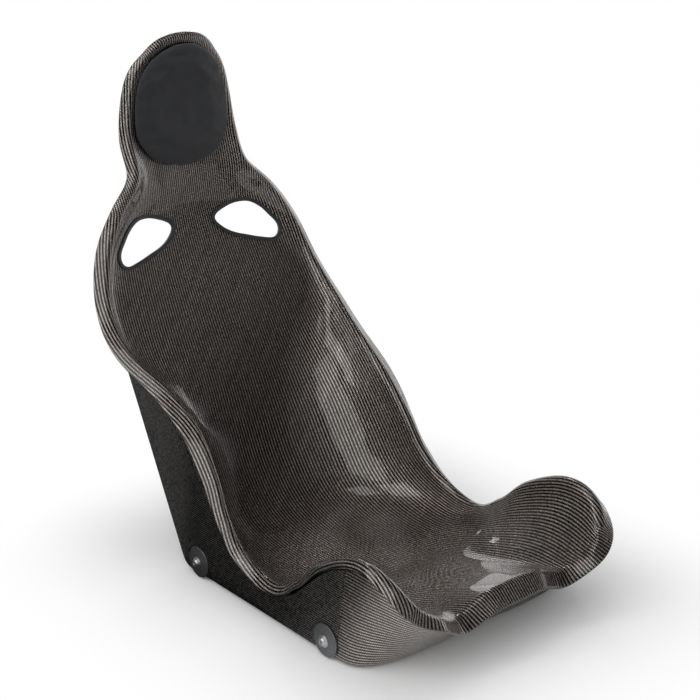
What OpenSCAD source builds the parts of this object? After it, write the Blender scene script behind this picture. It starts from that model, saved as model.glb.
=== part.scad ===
// Racing seat: one moulded bucket shell with a rolled rim, carried by an outer skin that gives
// the seat its box-shaped base. The skin takes four side-mount bolts. A padded headrest is
// fixed to the top of the shell and the two shoulder-harness slots are edged with rubber.
// Frame: +X to the sitter's left, the sitter faces -Y, +Z up. Z = 0 is the plane the base
// stands on and Y = 0 is halfway between the front and rear bolts.

/* [Overall size] */
// width across the two side mounting faces
face_w = 410; // [340:1:500]
// height of the top of the head above the base
seat_h = 742; // [600:1:900]
// length from the front lip to the back of the head
seat_d = 785; // [640:1:960]

/* [Side mounts] */
// spacing of the front and rear bolts along the seat
bolt_gap = 290; // [230:1:350]
// height of the bolts above the base
bolt_z = 24.5; // [20:0.5:32]
// radius of the bolt shank
bolt_r = 4; // [3:0.5:6]
// radius of the round washers under the bolts
washer_r = 23.5; // [15:0.5:28]
// thickness of a washer at its rim
washer_t = 2; // [1:0.5:4]
// height of the washer's dome over its rim
washer_dome = 1.5; // [0.5:0.5:3]
// radius of the bolt's flange
flange_r = 9; // [7:0.5:12]
// height of the bolt's button head
head_t = 4.5; // [3:0.5:7]
// width across the flats of the hexagon socket
socket_af = 5; // [3:0.5:8]

/* [Moulding] */
// thickness of the laminate
skin_t = 3; // [2:0.5:5]
// depth of the two thigh troughs at the lip
trough_k = 1; // [0.4:0.1:1.6]
// radius of the outer skin's lower edge
foot_r = 14; // [8:1:20]
// width of the flat the skin stands on
foot_w = 12; // [6:1:20]

/* [Harness slots] */
// size of the slots against the ones drawn
slot_k = 1; // [0.7:0.05:1.1]
// how far the rubber edging covers the laminate
trim_w = 6; // [4:0.5:9]
// thickness of the rubber edging
trim_t = 1.5; // [1:0.25:3]

/* [Headrest] */
// thickness of the pad at its middle
pad_t = 16; // [10:1:24]
// thickness of the pad's cover
cover_t = 1.2; // [0.8:0.1:2.5]

/* [Mounting plates] */
// thickness of the plates inside the skin
plate_t = 5; // [3:0.5:8]
// height of the plates
plate_h = 21; // [14:1:24]
// how far a plate runs past each bolt
plate_past = 26; // [18:1:34]

/* [Hidden] */

carbon = "#2b2a29";
rubber = "#151515";
cloth = "#232426";
foam_c = "#8a8a84";
board_c = "#3a3a3a";
alloy = "#b9bcc0";
steel = "#c9cbce";
anodised = "#3d4044";

// the sizes the tables below are drawn for
drawn = [410, 785, 742];
sx = face_w / drawn[0];
sy = seat_d / drawn[1];
sz = seat_h / drawn[2];

// clearances
fit_gap = 0.3;
shank_gap = 0.2;
edge_gap = 0.7;

// Sections of the bucket from the top of the head to the front lip. Each gives the rim's crest
// x, y, z, the spine's y, z, the wall's angle, the rim's roll radius, the width of the flange
// below the roll, how far it droops, the fullness of the floor and of the wall, the depth of
// the thigh troughs and how far the lip's corners stand forward.
stations_drawn = [
    [66, 450, 708, 438, 733, 52, 6, 4, 84, 0.50, 0.5, 0, 0],
    [84, 454, 680, 451, 704, 42, 8, 8, 65, 0.60, 0.5, 0, 0],
    [92, 455, 640, 460, 655, 30, 9, 10, 57, 0.70, 0.5, 0, 0],
    [97, 451, 585, 459, 585, 22, 9, 10, 55, 0.70, 0.5, 0, 0],
    [103, 428, 528, 449, 525, 25, 9, 9, 52, 0.70, 0.5, 0, 0],
    [147, 412, 478, 438, 465, 30, 9, 9, 42, 0.70, 0.6, 0, 0],
    [180, 397, 426, 414, 405, 45, 9, 15, 38, 0.70, 0.7, 0, 0],
    [200, 369, 360, 380, 343, 60, 9, 14, 38, 0.70, 0.8, 0, 0],
    [205, 320, 308, 345, 280, 70, 9, 14, 38, 0.68, 0.8, 0, 0],
    [189, 235, 261, 310, 218, 75, 9, 18, 38, 0.66, 0.8, 0, 0],
    [183, 170, 217, 278, 155, 80, 9, 20, 40, 0.64, 0.8, 0, 0],
    [187, 122, 161, 243, 90, 82, 9, 14, 42, 0.64, 0.8, 0, 0],
    [192, 92, 113, 195, 38, 82, 9, 10, 48, 0.66, 0.8, 0, 0],
    [196, 49, 74, 125, 14, 80, 9, 10, 50, 0.70, 0.8, 0, 0],
    [196, -22, 55, 35, 10, 78, 9, 10, 55, 0.74, 0.8, 0, 0],
    [195, -78, 84, -35, 17, 78, 9, 9, 60, 0.74, 0.8, 2, 0],
    [196, -130, 130, -105, 36, 80, 9, 5, 75, 0.72, 0.8, 6, 0],
    [197, -200, 161, -175, 58, 80, 9, 2, 90, 0.70, 0.8, 12, 1],
    [193, -256, 153, -232, 80, 75, 10, 9, 80, 0.68, 0.8, 18, 5],
    [180, -297, 120, -276, 97, 50, 12, 18, 54, 0.62, 0.7, 22, 13]
];
stations = [
    for (s = stations_drawn)
        [
            s[0] * sx, s[1] * sy, s[2] * sz, s[3] * sy, s[4] * sz,
            s[5], s[6], s[7], s[8], s[9], s[10], s[11], s[12] * sy
        ]
];
last = len(stations) - 1;
trough_x = 100 * sx;
trough_w = 38 * sx;
trough_lean = 0.2;
corner_x = 140 * sx;
corner_w = 30 * sx;
// roll radius, flange and droop along the lip, from its middle to its corner
lip_rim = [[12, 22, 66], [12, 22, 66], [12, 12, 60], [12, 11, 56], [12, 19, 54]];

// grid of the moulding: cells across, cells along per station, steps round the rim's roll
cells_u = 24;
per_station = 3;
cells_t = last * per_station;
roll_steps = 4;
eps_u = 0.002;
eps_t = 0.02;

// a smooth curve through the rows of a table
function blend(a, b, c, d, f) =
    0.5 * (2 * b + (c - a) * f + (2 * a - 5 * b + 4 * c - d) * f * f + (3 * b - a - 3 * c + d) * f * f * f);
function spline(tab, t) =
    let (n = len(tab) - 1)
    let (q = min(max(t, 0), n - 0.000001))
    let (i = floor(q))
    let (b = tab[i])
    let (c = tab[i + 1])
    let (a = i > 0 ? tab[i - 1] : 2 * b - c)
    let (d = i + 2 <= n ? tab[i + 2] : 2 * c - b)
    blend(a, b, c, d, q - i);
function unit(v) = v / norm(v);

// The corners of the face, two at the lip and two at the head, are rounded by drawing places
// near them inwards: how far in u and t, and where that starts. With these amounts the two
// edges that meet in a corner run into each other almost straight.
lip_pull = [0.09, 0.36];
lip_from = [0.60, 17.4];
head_pull = [0.10, 0.32];
head_from = [0.45, 1.6];
function rise(q) = pow(max(q, 0), 2);
function lip_part(u, t) =
    rise((abs(u) - lip_from[0]) / (1 - lip_from[0])) * rise((t - lip_from[1]) / (last - lip_from[1]));
function head_part(u, t) =
    rise((abs(u) - head_from[0]) / (1 - head_from[0])) * rise(1 - t / head_from[1]);
function drawn_u(u, t) = u * (1 - lip_pull[0] * lip_part(u, t) - head_pull[0] * head_part(u, t));
function drawn_t(u, t) = t - lip_pull[1] * lip_part(u, t) + head_pull[1] * head_part(u, t);

// a point of the bucket's inner face: u runs across from -1 to 1, t along from head to lip
function inner(u, t) = sheet(drawn_u(u, t), drawn_t(u, t));
function sheet(u, t) =
    let (s = spline(stations, t))
    let (d = [s[1] - s[3], s[2] - s[4]])
    let (e = unit(d))
    let (w = s[5])
    let (x1 = s[0] - s[6] * sin(w))
    let (h1 = norm(d) - s[6] * (1 - cos(w)))
    let (c = min(s[10] * h1 / sin(w), x1 / 2))
    let (a = abs(u))
    let (b = 1 - a)
    let (x = 3 * b * b * a * s[9] * x1 + 3 * b * a * a * (x1 - c * cos(w)) + a * a * a * x1)
    let (h = 3 * b * a * a * (h1 - c * sin(w)) + a * a * a * h1)
    let (m = trough_k * s[11] * exp(-pow((x - trough_x) / trough_w, 2)))
    let (g = s[12] * exp(-pow((x - corner_x) / corner_w, 2)))
    [sign(u) * x, s[3] + e[0] * h + trough_lean * m - g, s[4] + e[1] * h - m];

// The inner face's normal, towards the sitter. At the corners of the head the two directions
// run together, so it is taken a little way in from there.
head_in = 0.5;
head_fade = 1.5;
head_trim = 0.12;
function facing(u0, t0) =
    let (t = max(drawn_t(u0, t0), head_in))
    let (lim = 1 - head_trim * max(0, head_fade - t))
    let (u = max(-lim, min(lim, drawn_u(u0, t0))))
    let (a = sheet(min(u + eps_u, 1), t) - sheet(max(u - eps_u, -1), t))
    let (b = sheet(u, max(t - eps_t, 0)) - sheet(u, min(t + eps_t, last)))
    unit(cross(a, b));

// the direction the spine's normal has in the middle plane
function spine_up(t) =
    let (a = spline(stations, max(t - 0.05, 0)))
    let (b = spline(stations, min(max(t + 0.05, 0.1), last)))
    unit([0, b[4] - a[4], a[3] - b[3]]);

// the edge of the grid as [row, column], once round
edge = concat(
    [for (i = [cells_t:-1:0]) [i, cells_u]],
    [for (j = [cells_u - 1:-1:1]) [0, j]],
    [for (i = [0:cells_t]) [i, 0]],
    [for (j = [1:cells_u - 1]) [cells_t, j]]
);
edge_n = len(edge);
function at_u(j) = 2 * j / cells_u - 1;
function at_t(i) = i / per_station;
function grid_index(i, j) = i * (cells_u + 1) + j;

grid_p = [for (i = [0:cells_t]) for (j = [0:cells_u]) inner(at_u(j), at_t(i))];
grid_n = [for (i = [0:cells_t]) for (j = [0:cells_u]) facing(at_u(j), at_t(i))];
edge_p = [for (e = edge) grid_p[grid_index(e[0], e[1])]];
edge_up = [for (e = edge) grid_n[grid_index(e[0], e[1])]];
// The rim's heading and its sizes are averaged over a few places each way, which rounds its
// corners.
edge_span = 3;
function around(tab, l, k = -edge_span) =
    k > edge_span ? 0 * tab[0]
    : tab[(l + k + edge_n) % edge_n] * (edge_span + 1 - abs(k)) / pow(edge_span + 1, 2)
        + around(tab, l, k + 1);
edge_run = [
    for (l = [0:edge_n - 1])
        let (a = edge_p[(l + edge_n - edge_span) % edge_n])
        let (b = edge_p[(l + edge_span) % edge_n])
        unit(cross(b - a, edge_up[l]))
];
edge_out = [
    for (l = [0:edge_n - 1])
        let (v = around(edge_run, l))
        unit(v - (v * edge_up[l]) * edge_up[l])
];
// roll radius, flange and droop at each place on the edge
edge_sizes = [
    for (e = edge)
        let (s = spline(stations, at_t(e[0])))
        e[0] == cells_t ? spline(lip_rim, abs(at_u(e[1])) * (len(lip_rim) - 1)) : [s[6], s[7], s[8]]
];
edge_rim = [for (l = [0:edge_n - 1]) around(edge_sizes, l)];
// total turn of the roll at each place on the edge
edge_turn = [
    for (l = [0:edge_n - 1])
        let (t = drawn_t(at_u(edge[l][1]), at_t(edge[l][0])))
        asin(max(min(edge_out[l] * spine_up(t), 1), -1)) + edge_rim[l][2]
];
function rim_normal(l, f) = cos(f) * edge_up[l] + sin(f) * edge_out[l];
function rim_point(l, k) =
    let (s = edge_rim[l])
    let (g = edge_turn[l])
    let (f = g * min(k, roll_steps) / roll_steps)
    let (p = edge_p[l] + s[0] * (sin(f) * edge_out[l] - (1 - cos(f)) * edge_up[l]))
    k <= roll_steps ? p : p + s[1] * (cos(g) * edge_out[l] - sin(g) * edge_up[l]);
rim_rows = roll_steps + 1;
rim_p = [for (l = [0:edge_n - 1]) for (k = [1:rim_rows]) rim_point(l, k)];
rim_n = [
    for (l = [0:edge_n - 1])
        for (k = [1:rim_rows]) rim_normal(l, edge_turn[l] * min(k, roll_steps) / roll_steps)
];

// Harness slot: its middle and half size in u and t, and its radius at twelve even angles
slot_mid = [0.43, 5.58];
slot_half = [0.29, 0.55];
slot_radii = [1.00, 1.24, 1.20, 0.87, 0.73, 0.78, 0.92, 1.15, 1.09, 1.04, 1.05, 1.00];
// the block of cells that is opened for it, as rows and columns right of the middle
block_i = [14, 19];
block_j = [13, 22];
function ring_value(tab, deg) =
    let (n = len(tab))
    let (q = deg / 360 * n)
    let (i = floor(q))
    blend(tab[(i + n - 1) % n], tab[(i + n) % n], tab[(i + 1) % n], tab[(i + 2) % n], q - i);
function block_edge(i0, i1, j0, j1) = concat(
    [for (j = [j0:j1]) [i0, j]],
    [for (i = [i0 + 1:i1]) [i, j1]],
    [for (j = [j1 - 1:-1:j0]) [i1, j]],
    [for (i = [i1 - 1:-1:i0 + 1]) [i, j0]]
);
right_block = block_edge(block_i[0], block_i[1], block_j[0], block_j[1]);
left_block = block_edge(block_i[0], block_i[1], cells_u - block_j[1], cells_u - block_j[0]);
block_n = len(right_block);
function slot_uv(c) =
    let (u = at_u(c[1]))
    let (v = [(abs(u) - slot_mid[0]) / slot_half[0], (at_t(c[0]) - slot_mid[1]) / slot_half[1]])
    let (deg = (atan2(v[1], v[0]) + 360) % 360)
    let (r = slot_k * ring_value(slot_radii, deg))
    [sign(u) * (slot_mid[0] + slot_half[0] * r * cos(deg)), slot_mid[1] + slot_half[1] * r * sin(deg)];
right_uv = [for (c = right_block) slot_uv(c)];
left_uv = [for (c = left_block) slot_uv(c)];
slots_uv = concat(right_uv, left_uv);
// a second outline a little further out, so the laminate keeps its bend beside the slot
ring_out = 0.13;
function beyond(v) =
    let (w = [(abs(v[0]) - slot_mid[0]) / slot_half[0], (v[1] - slot_mid[1]) / slot_half[1]])
    let (k = 1 + ring_out / norm(w))
    [sign(v[0]) * (slot_mid[0] + slot_half[0] * w[0] * k), slot_mid[1] + slot_half[1] * w[1] * k];
rings_uv = [for (v = slots_uv) beyond(v)];
ring_p = [for (v = rings_uv) inner(v[0], v[1])];
ring_n = [for (v = rings_uv) facing(v[0], v[1])];
slot_p = [for (v = slots_uv) inner(v[0], v[1])];
slot_n = [for (v = slots_uv) facing(v[0], v[1])];
blocks = [right_block, left_block];
function in_block(i, j) =
    i >= block_i[0] && i < block_i[1]
    && ((j >= block_j[0] && j < block_j[1])
        || (j >= cells_u - block_j[1] && j < cells_u - block_j[0]));

face_p = concat(grid_p, rim_p, slot_p, ring_p);
face_n = concat(grid_n, rim_n, slot_n, ring_n);
shell_points = concat(face_p, [for (k = [0:len(face_p) - 1]) face_p[k] - skin_t * face_n[k]]);
behind = len(face_p);
rim_at = len(grid_p);
slot_at = rim_at + len(rim_p);
ring_at = slot_at + len(slot_p);
function rim_index(l, k) =
    k == 0 ? grid_index(edge[l % edge_n][0], edge[l % edge_n][1])
    : rim_at + (l % edge_n) * rim_rows + k - 1;
function slot_index(b, k) = slot_at + b * block_n + k % block_n;
function ring_index(b, k) = ring_at + b * block_n + k % block_n;
function block_index(b, k) =
    let (c = blocks[b][k % block_n])
    grid_index(c[0], c[1]);
// two triangles of a patch on the inner face and the same two on the outer face
function both(a, b, c, d) = [
    [a, b, c],
    [a, c, d],
    [a + behind, c + behind, b + behind],
    [a + behind, d + behind, c + behind]
];
shell_faces = concat(
    [for (i = [0:cells_t - 1]) for (j = [0:cells_u - 1]) if (!in_block(i, j))
        for (f = both(grid_index(i, j), grid_index(i, j + 1), grid_index(i + 1, j + 1), grid_index(i + 1, j)))
            f],
    [for (l = [0:edge_n - 1]) for (k = [0:rim_rows - 1])
        for (f = both(rim_index(l, k), rim_index(l + 1, k), rim_index(l + 1, k + 1), rim_index(l, k + 1)))
            f],
    [for (l = [0:edge_n - 1])
        let (a = rim_index(l, rim_rows))
        let (b = rim_index(l + 1, rim_rows))
        for (f = [[a, b, b + behind], [a, b + behind, a + behind]]) f],
    [for (b = [0:1]) for (k = [0:block_n - 1])
        for (f = both(block_index(b, k), block_index(b, k + 1), ring_index(b, k + 1), ring_index(b, k))) f],
    [for (b = [0:1]) for (k = [0:block_n - 1])
        for (f = both(ring_index(b, k), ring_index(b, k + 1), slot_index(b, k + 1), slot_index(b, k))) f],
    [for (b = [0:1]) for (k = [0:block_n - 1])
        let (a = slot_index(b, k))
        let (c = slot_index(b, k + 1))
        for (f = [[a, c, c + behind], [a, c + behind, a + behind]]) f]
);

module seat_shell() {
    color(carbon)
        polyhedron(points = shell_points, faces = shell_faces, convexity = 10);
}

// U-shaped rubber edging round one slot, as [outward from the slot, up from the laminate]
trim_section = [
    [trim_w, edge_gap],
    [trim_w, edge_gap + trim_t * 0.7],
    [trim_w - trim_t * 0.4, edge_gap + trim_t],
    [-trim_t * 0.5, edge_gap + trim_t],
    [-edge_gap - trim_t, edge_gap + trim_t * 0.2],
    [-edge_gap - trim_t, -skin_t - edge_gap - trim_t * 0.2],
    [-trim_t * 0.5, -skin_t - edge_gap - trim_t],
    [trim_w - trim_t * 0.4, -skin_t - edge_gap - trim_t],
    [trim_w, -skin_t - edge_gap - trim_t * 0.7],
    [trim_w, -skin_t - edge_gap],
    [-edge_gap, -skin_t - edge_gap],
    [-edge_gap, edge_gap]
];
trim_n = len(trim_section);
function trim_points(b) = [
    for (k = [0:block_n - 1])
        let (p = slot_p[b * block_n + k])
        let (n = slot_n[b * block_n + k])
        let (t = slot_p[b * block_n + (k + 1) % block_n] - slot_p[b * block_n + (k + block_n - 1) % block_n])
        let (e = unit(cross(n, t)))
        for (q = trim_section) p + q[0] * e + q[1] * n
];
trim_faces = [
    for (k = [0:block_n - 1]) for (m = [0:trim_n - 1])
        let (a = k * trim_n + m)
        let (b = k * trim_n + (m + 1) % trim_n)
        let (c = ((k + 1) % block_n) * trim_n + (m + 1) % trim_n)
        let (d = ((k + 1) % block_n) * trim_n + m)
        for (f = [[a, b, c], [a, c, d]]) f
];
module harness_trim(b) {
    color(rubber)
        polyhedron(points = trim_points(b), faces = trim_faces, convexity = 6);
}
module harness_trim_left() {
    harness_trim(0);
}
module harness_trim_right() {
    harness_trim(1);
}

// Headrest: an oval on the head of the shell. A lathe-like outline of [share of the oval's
// radius, height over the shell] is carried round it.
pad_mid = 2.0;
pad_half = [0.955, 1.86];
pad_steps = 36;
pad_k = pad_t / 16;
pad_low = 0.8;
function pad_point(r, deg, h) =
    let (u = pad_half[0] * r * cos(deg))
    let (t = pad_mid + pad_half[1] * r * sin(deg))
    inner(u, t) + h * facing(u, t);
cover_out = [
    [0.35, 16 * pad_k], [0.60, 15.4 * pad_k], [0.78, 14 * pad_k], [0.90, 11.5 * pad_k],
    [0.97, 8 * pad_k], [1.00, 4.5], [0.995, 2.3], [0.97, pad_low + 0.1], [0.88, pad_low]
];
board_h = pad_low + cover_t + 0.4;
board_t = 1.5;
foam_gap = 0.6;
foam_h = board_h + board_t + 0.8;
cover_in = [
    [0.88, pad_low + cover_t], [0.955, pad_low + cover_t], [0.98, 2.9], [0.985, 4.5],
    [0.955, 8 * pad_k - cover_t * 0.8], [0.89, 11.5 * pad_k - cover_t], [0.775, 14 * pad_k - cover_t],
    [0.60, 15.4 * pad_k - cover_t], [0.35, 16 * pad_k - cover_t]
];
foam_shape = [
    [0.35, 16 * pad_k - cover_t - foam_gap], [0.60, 15.4 * pad_k - cover_t - foam_gap],
    [0.77, 14 * pad_k - cover_t - foam_gap], [0.87, 11.5 * pad_k - cover_t - foam_gap],
    [0.935, 8 * pad_k - cover_t - foam_gap], [0.962, 5.2],
    [0.945, foam_h], [0.60, foam_h]
];
board_shape = [
    [0.60, board_h + board_t], [0.945, board_h + board_t], [0.945, board_h], [0.60, board_h]
];
// closed solid from an outline that starts and ends on the pad's middle
module lathe_on_shell(outline, top_h, end_h) {
    rows = len(outline);
    points = concat(
        [pad_point(0, 0, top_h)],
        [for (q = outline) for (a = [0:pad_steps - 1]) pad_point(q[0], a * 360 / pad_steps, q[1])],
        [pad_point(0, 0, end_h)]
    );
    tail = 1 + rows * pad_steps;
    faces = concat(
        [for (a = [0:pad_steps - 1]) [0, 1 + a, 1 + (a + 1) % pad_steps]],
        [for (r = [0:rows - 2]) for (a = [0:pad_steps - 1])
            let (p = 1 + r * pad_steps)
            let (b = (a + 1) % pad_steps)
            for (f = [[p + a, p + pad_steps + a, p + pad_steps + b], [p + a, p + pad_steps + b, p + b]]) f],
        [for (a = [0:pad_steps - 1])
            [tail, tail - pad_steps + (a + 1) % pad_steps, tail - pad_steps + a]]
    );
    polyhedron(points = points, faces = faces, convexity = 6);
}
module headrest_cover() {
    color(cloth)
        lathe_on_shell(concat(cover_out, cover_in), pad_t, pad_t - cover_t);
}
module headrest_foam() {
    color(foam_c)
        lathe_on_shell(foam_shape, pad_t - cover_t - foam_gap, foam_h);
}
module headrest_board() {
    color(board_c)
        lathe_on_shell(board_shape, board_h + board_t, board_h);
}

// Hook tape between the board and the shell: two strips, each [first t, last t]
tape_rows = [[0.9, 1.35], [2.7, 3.15]];
tape_u = 0.45;
tape_cells = [8, 2];
tape_low = 0.6;
tape_high = board_h - 0.5;
module tape_strip(t0, t1) {
    nu = tape_cells[0];
    nt = tape_cells[1];
    points = [
        for (h = [tape_high, tape_low]) for (i = [0:nt]) for (j = [0:nu])
            let (u = tape_u * (2 * j / nu - 1))
            let (t = t0 + (t1 - t0) * i / nt)
            inner(u, t) + h * facing(u, t)
    ];
    m = (nu + 1) * (nt + 1);
    ring = block_edge(0, nt, 0, nu);
    faces = concat(
        [for (i = [0:nt - 1]) for (j = [0:nu - 1])
            let (a = i * (nu + 1) + j)
            let (d = a + nu + 1)
            for (f = [
                [a, a + 1, d + 1], [a, d + 1, d],
                [a + m, d + 1 + m, a + 1 + m], [a + m, d + m, d + 1 + m]
            ])
                f],
        [for (k = [0:len(ring) - 1])
            let (p = ring[k])
            let (q = ring[(k + 1) % len(ring)])
            let (a = p[0] * (nu + 1) + p[1])
            let (b = q[0] * (nu + 1) + q[1])
            for (f = [[b, a, a + m], [b, a + m, b + m]]) f]
    );
    polyhedron(points = points, faces = faces, convexity = 2);
}
module headrest_tape() {
    color(rubber) {
        tape_strip(tape_rows[0][0], tape_rows[0][1]);
        tape_strip(tape_rows[1][0], tape_rows[1][1]);
    }
}

// Outer skin, right half. Each row gives a place on the skin's free edge (x, y, z), the
// heading of its inward return, the return's radius against foot_r, and the top edge under
// the rim (x, y, z). It starts at the top of the rear edge and ends at the middle of the front.
skin_drawn = [
    [205, 318, 272, 0, 0.25, 205, 313, 290],
    [205, 296, 228, 0, 0.45, 205, 292, 279],
    [205, 268, 172, 0, 0.55, 205, 266, 262],
    [205, 244, 124, 0, 0.60, 205, 240, 247],
    [205, 220, 76, 0, 0.65, 205, 215, 231],
    [205, 201, 38, 0, 0.70, 205, 190, 213],
    [205, 190, 14, 0, 0.80, 205, 170, 194],
    [205, 181, 3, 0, 0.85, 205, 155, 177],
    [205, 168, 0, 0, 0.90, 205, 140, 159],
    [205, 145, 0, 0, 1.00, 205, 122, 132],
    [205, 110, 0, 0, 1.00, 205, 100, 104],
    [205, 75, 0, 0, 1.00, 205, 72, 77],
    [205, 40, 0, 0, 1.00, 205, 42, 56],
    [205, 5, 0, 0, 1.00, 205, 9, 44],
    [205, -30, 0, 0, 1.00, 205, -25, 42],
    [205, -65, 0, 0, 1.00, 205, -68, 57],
    [205, -100, 0, 0, 1.00, 205, -110, 94],
    [205, -130, 0, 0, 1.00, 205, -150, 127],
    [205, -155, 0, 8, 1.00, 205, -182, 141],
    [204, -178, 0, 30, 1.00, 204, -208, 148],
    [197, -194, 0, 55, 1.00, 202, -232, 149],
    [182, -206, 0, 72, 1.00, 196, -256, 138],
    [160, -214, 0, 82, 1.00, 184, -276, 117],
    [135, -218, 0, 88, 1.00, 164, -288, 96],
    [108, -219, 0, 90, 1.00, 138, -288, 82],
    [80, -220, 0, 90, 1.00, 108, -278, 66],
    [52, -220, 0, 90, 1.00, 74, -270, 62],
    [26, -220, 0, 90, 1.00, 36, -268, 72],
    [0, -220, 0, 90, 1.00, 0, -268, 76]
];
skin_half = len(skin_drawn) - 1;
// The foot keeps its length past the bolts, so it grows with their spacing. Higher up, the
// edge goes over to the length of the seat, as the shell does.
drawn_bolt_gap = 290;
drawn_skin_t = 3;
foot_flat = 171;
edge_top = skin_drawn[0][2];
function foot_y(y) =
    let (flat = max(-foot_flat, min(foot_flat, y)))
    flat * bolt_gap / drawn_bolt_gap + (y - flat) * sy;
function edge_y(y, z) = foot_y(y) + (y * sy - foot_y(y)) * min(z / edge_top, 1);
// The skin's top edge keeps its drop under the rim's crest, and goes lower as the laminates
// get thicker.
drawn_drop = 9;
rim_drop = drawn_drop + 2 * (skin_t - drawn_skin_t);
skin_per = 2;
skin_cols = 2 * skin_half * skin_per;
return_steps = 4;
wall_steps = 5;
skin_rows = 1 + return_steps + wall_steps;
// whole skin from the right rear round the front to the left rear
function skin_station(c) =
    let (k = c <= skin_cols / 2 ? c : skin_cols - c)
    let (s = spline(skin_drawn, k / skin_per))
    let (g = c <= skin_cols / 2 ? -1 : 1)
    [
        [g * s[0] * sx, edge_y(s[1], s[2]), s[2] * sz],
        [-g * cos(s[3]), sin(s[3]), 0],
        s[4] * foot_r,
        [g * s[5] * sx, s[6] * sy, (s[7] + drawn_drop) * sz - rim_drop]
    ];
function skin_point(c, r) =
    let (s = skin_station(c))
    let (b = s[0])
    let (v = unit(s[3] - b))
    let (q = (r - 1) / return_steps)
    let (foot = b + s[1] * s[2])
    let (wall = b + v * s[2])
    r == 0 ? b + s[1] * (s[2] + foot_w)
    : r <= return_steps + 1 ? (1 - q) * (1 - q) * foot + 2 * q * (1 - q) * b + q * q * wall
    : wall + (s[3] - wall) * (r - 1 - return_steps) / wall_steps;
skin_p = [for (c = [0:skin_cols]) for (r = [0:skin_rows]) skin_point(c, r)];
function skin_index(c, r) = c * (skin_rows + 1) + r;
function skin_out(c, r) =
    let (a = skin_p[skin_index(min(c + 1, skin_cols), r)] - skin_p[skin_index(max(c - 1, 0), r)])
    let (b = skin_p[skin_index(c, min(r + 1, skin_rows))] - skin_p[skin_index(c, max(r - 1, 0))])
    unit(cross(a, b));
skin_in = [for (c = [0:skin_cols]) for (r = [0:skin_rows]) skin_point(c, r) - skin_t * skin_out(c, r)];
skin_m = len(skin_p);
skin_edge = block_edge(0, skin_cols, 0, skin_rows);
skin_faces = concat(
    [for (c = [0:skin_cols - 1]) for (r = [0:skin_rows - 1])
        let (a = skin_index(c, r))
        let (b = skin_index(c, r + 1))
        let (d = skin_index(c + 1, r))
        let (e = skin_index(c + 1, r + 1))
        for (f = [
            [a, b, e], [a, e, d],
            [a + skin_m, e + skin_m, b + skin_m], [a + skin_m, d + skin_m, e + skin_m]
        ])
            f],
    [for (k = [0:len(skin_edge) - 1])
        let (p = skin_edge[k])
        let (q = skin_edge[(k + 1) % len(skin_edge)])
        let (a = skin_index(p[0], p[1]))
        let (b = skin_index(q[0], q[1]))
        for (f = [[b, a, a + skin_m], [b, a + skin_m, b + skin_m]]) f]
);

// Bolts and what they go through. All are drawn along +X from the skin's outer face.
face_x = face_w / 2;
insert_r = 6;
insert_flange_r = 9;
insert_flange_t = 3;
insert_in = skin_t + plate_t + 2 * fit_gap + insert_flange_t + fit_gap;
hole_gap = 0.3;
shank_len = 20;
module place(side, end) {
    translate([side * face_x, end * bolt_gap / 2, bolt_z])
        rotate([0, side * 90, 0])
            children();
}
module outer_skin() {
    color(carbon)
        difference() {
            polyhedron(points = concat(skin_p, skin_in), faces = skin_faces, convexity = 10);
            for (side = [-1, 1])
                for (end = [-1, 1])
                    place(side, end)
                        translate([0, 0, -skin_t - 2])
                            cylinder(r = insert_r + hole_gap, h = skin_t + 4, $fn = 48);
        }
}
plate_z0 = bolt_z - 8;
module mount_plate(side) {
    color(alloy)
        difference() {
            translate([side * (face_x - skin_t - fit_gap - plate_t / 2), 0, plate_z0 + plate_h / 2])
                cube([plate_t, bolt_gap + 2 * plate_past, plate_h], center = true);
            for (end = [-1, 1])
                place(side, end)
                    translate([0, 0, -skin_t - fit_gap - plate_t - 1])
                        cylinder(r = insert_r + hole_gap, h = plate_t + 2, $fn = 48);
        }
}
module insert() {
    color(steel)
        rotate_extrude($fn = 64)
            polygon([
                [bolt_r + shank_gap, -fit_gap],
                [insert_r, -fit_gap],
                [insert_r, -insert_in + insert_flange_t],
                [insert_flange_r, -insert_in + insert_flange_t],
                [insert_flange_r, -insert_in],
                [bolt_r + shank_gap, -insert_in]
            ]);
}
module washer() {
    color(anodised)
        translate([0, 0, fit_gap])
            rotate_extrude($fn = 96)
                polygon([
                    [bolt_r + hole_gap, 0],
                    [washer_r - 0.4, 0],
                    [washer_r, 0.5],
                    [washer_r, washer_t - 0.8],
                    [washer_r - 0.8, washer_t],
                    [washer_r * 0.7, washer_t + washer_dome * 0.55],
                    [flange_r + 2.5, washer_t + washer_dome],
                    [bolt_r + hole_gap, washer_t + washer_dome]
                ]);
}
seat_z = fit_gap + washer_t + washer_dome + 0.1;
flange_t = 1.2;
module bolt() {
    color(steel)
        translate([0, 0, seat_z])
            difference() {
                rotate_extrude($fn = 64)
                    polygon([
                        [0, -shank_len],
                        [bolt_r - 0.8, -shank_len],
                        [bolt_r, -shank_len + 0.8],
                        [bolt_r, 0],
                        [flange_r - 0.3, 0],
                        [flange_r, 0.3],
                        [flange_r, flange_t * 0.7],
                        [flange_r - 0.6, flange_t],
                        [flange_r * 0.8, flange_t + 0.4],
                        [flange_r * 0.74, flange_t + 1.4],
                        [flange_r * 0.62, flange_t + head_t * 0.62],
                        [flange_r * 0.45, flange_t + head_t * 0.9],
                        [flange_r * 0.34, flange_t + head_t],
                        [0, flange_t + head_t]
                    ]);
                translate([0, 0, flange_t + head_t * 0.25])
                    cylinder(r = socket_af / sqrt(3), h = head_t, $fn = 6);
            }
}

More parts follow.
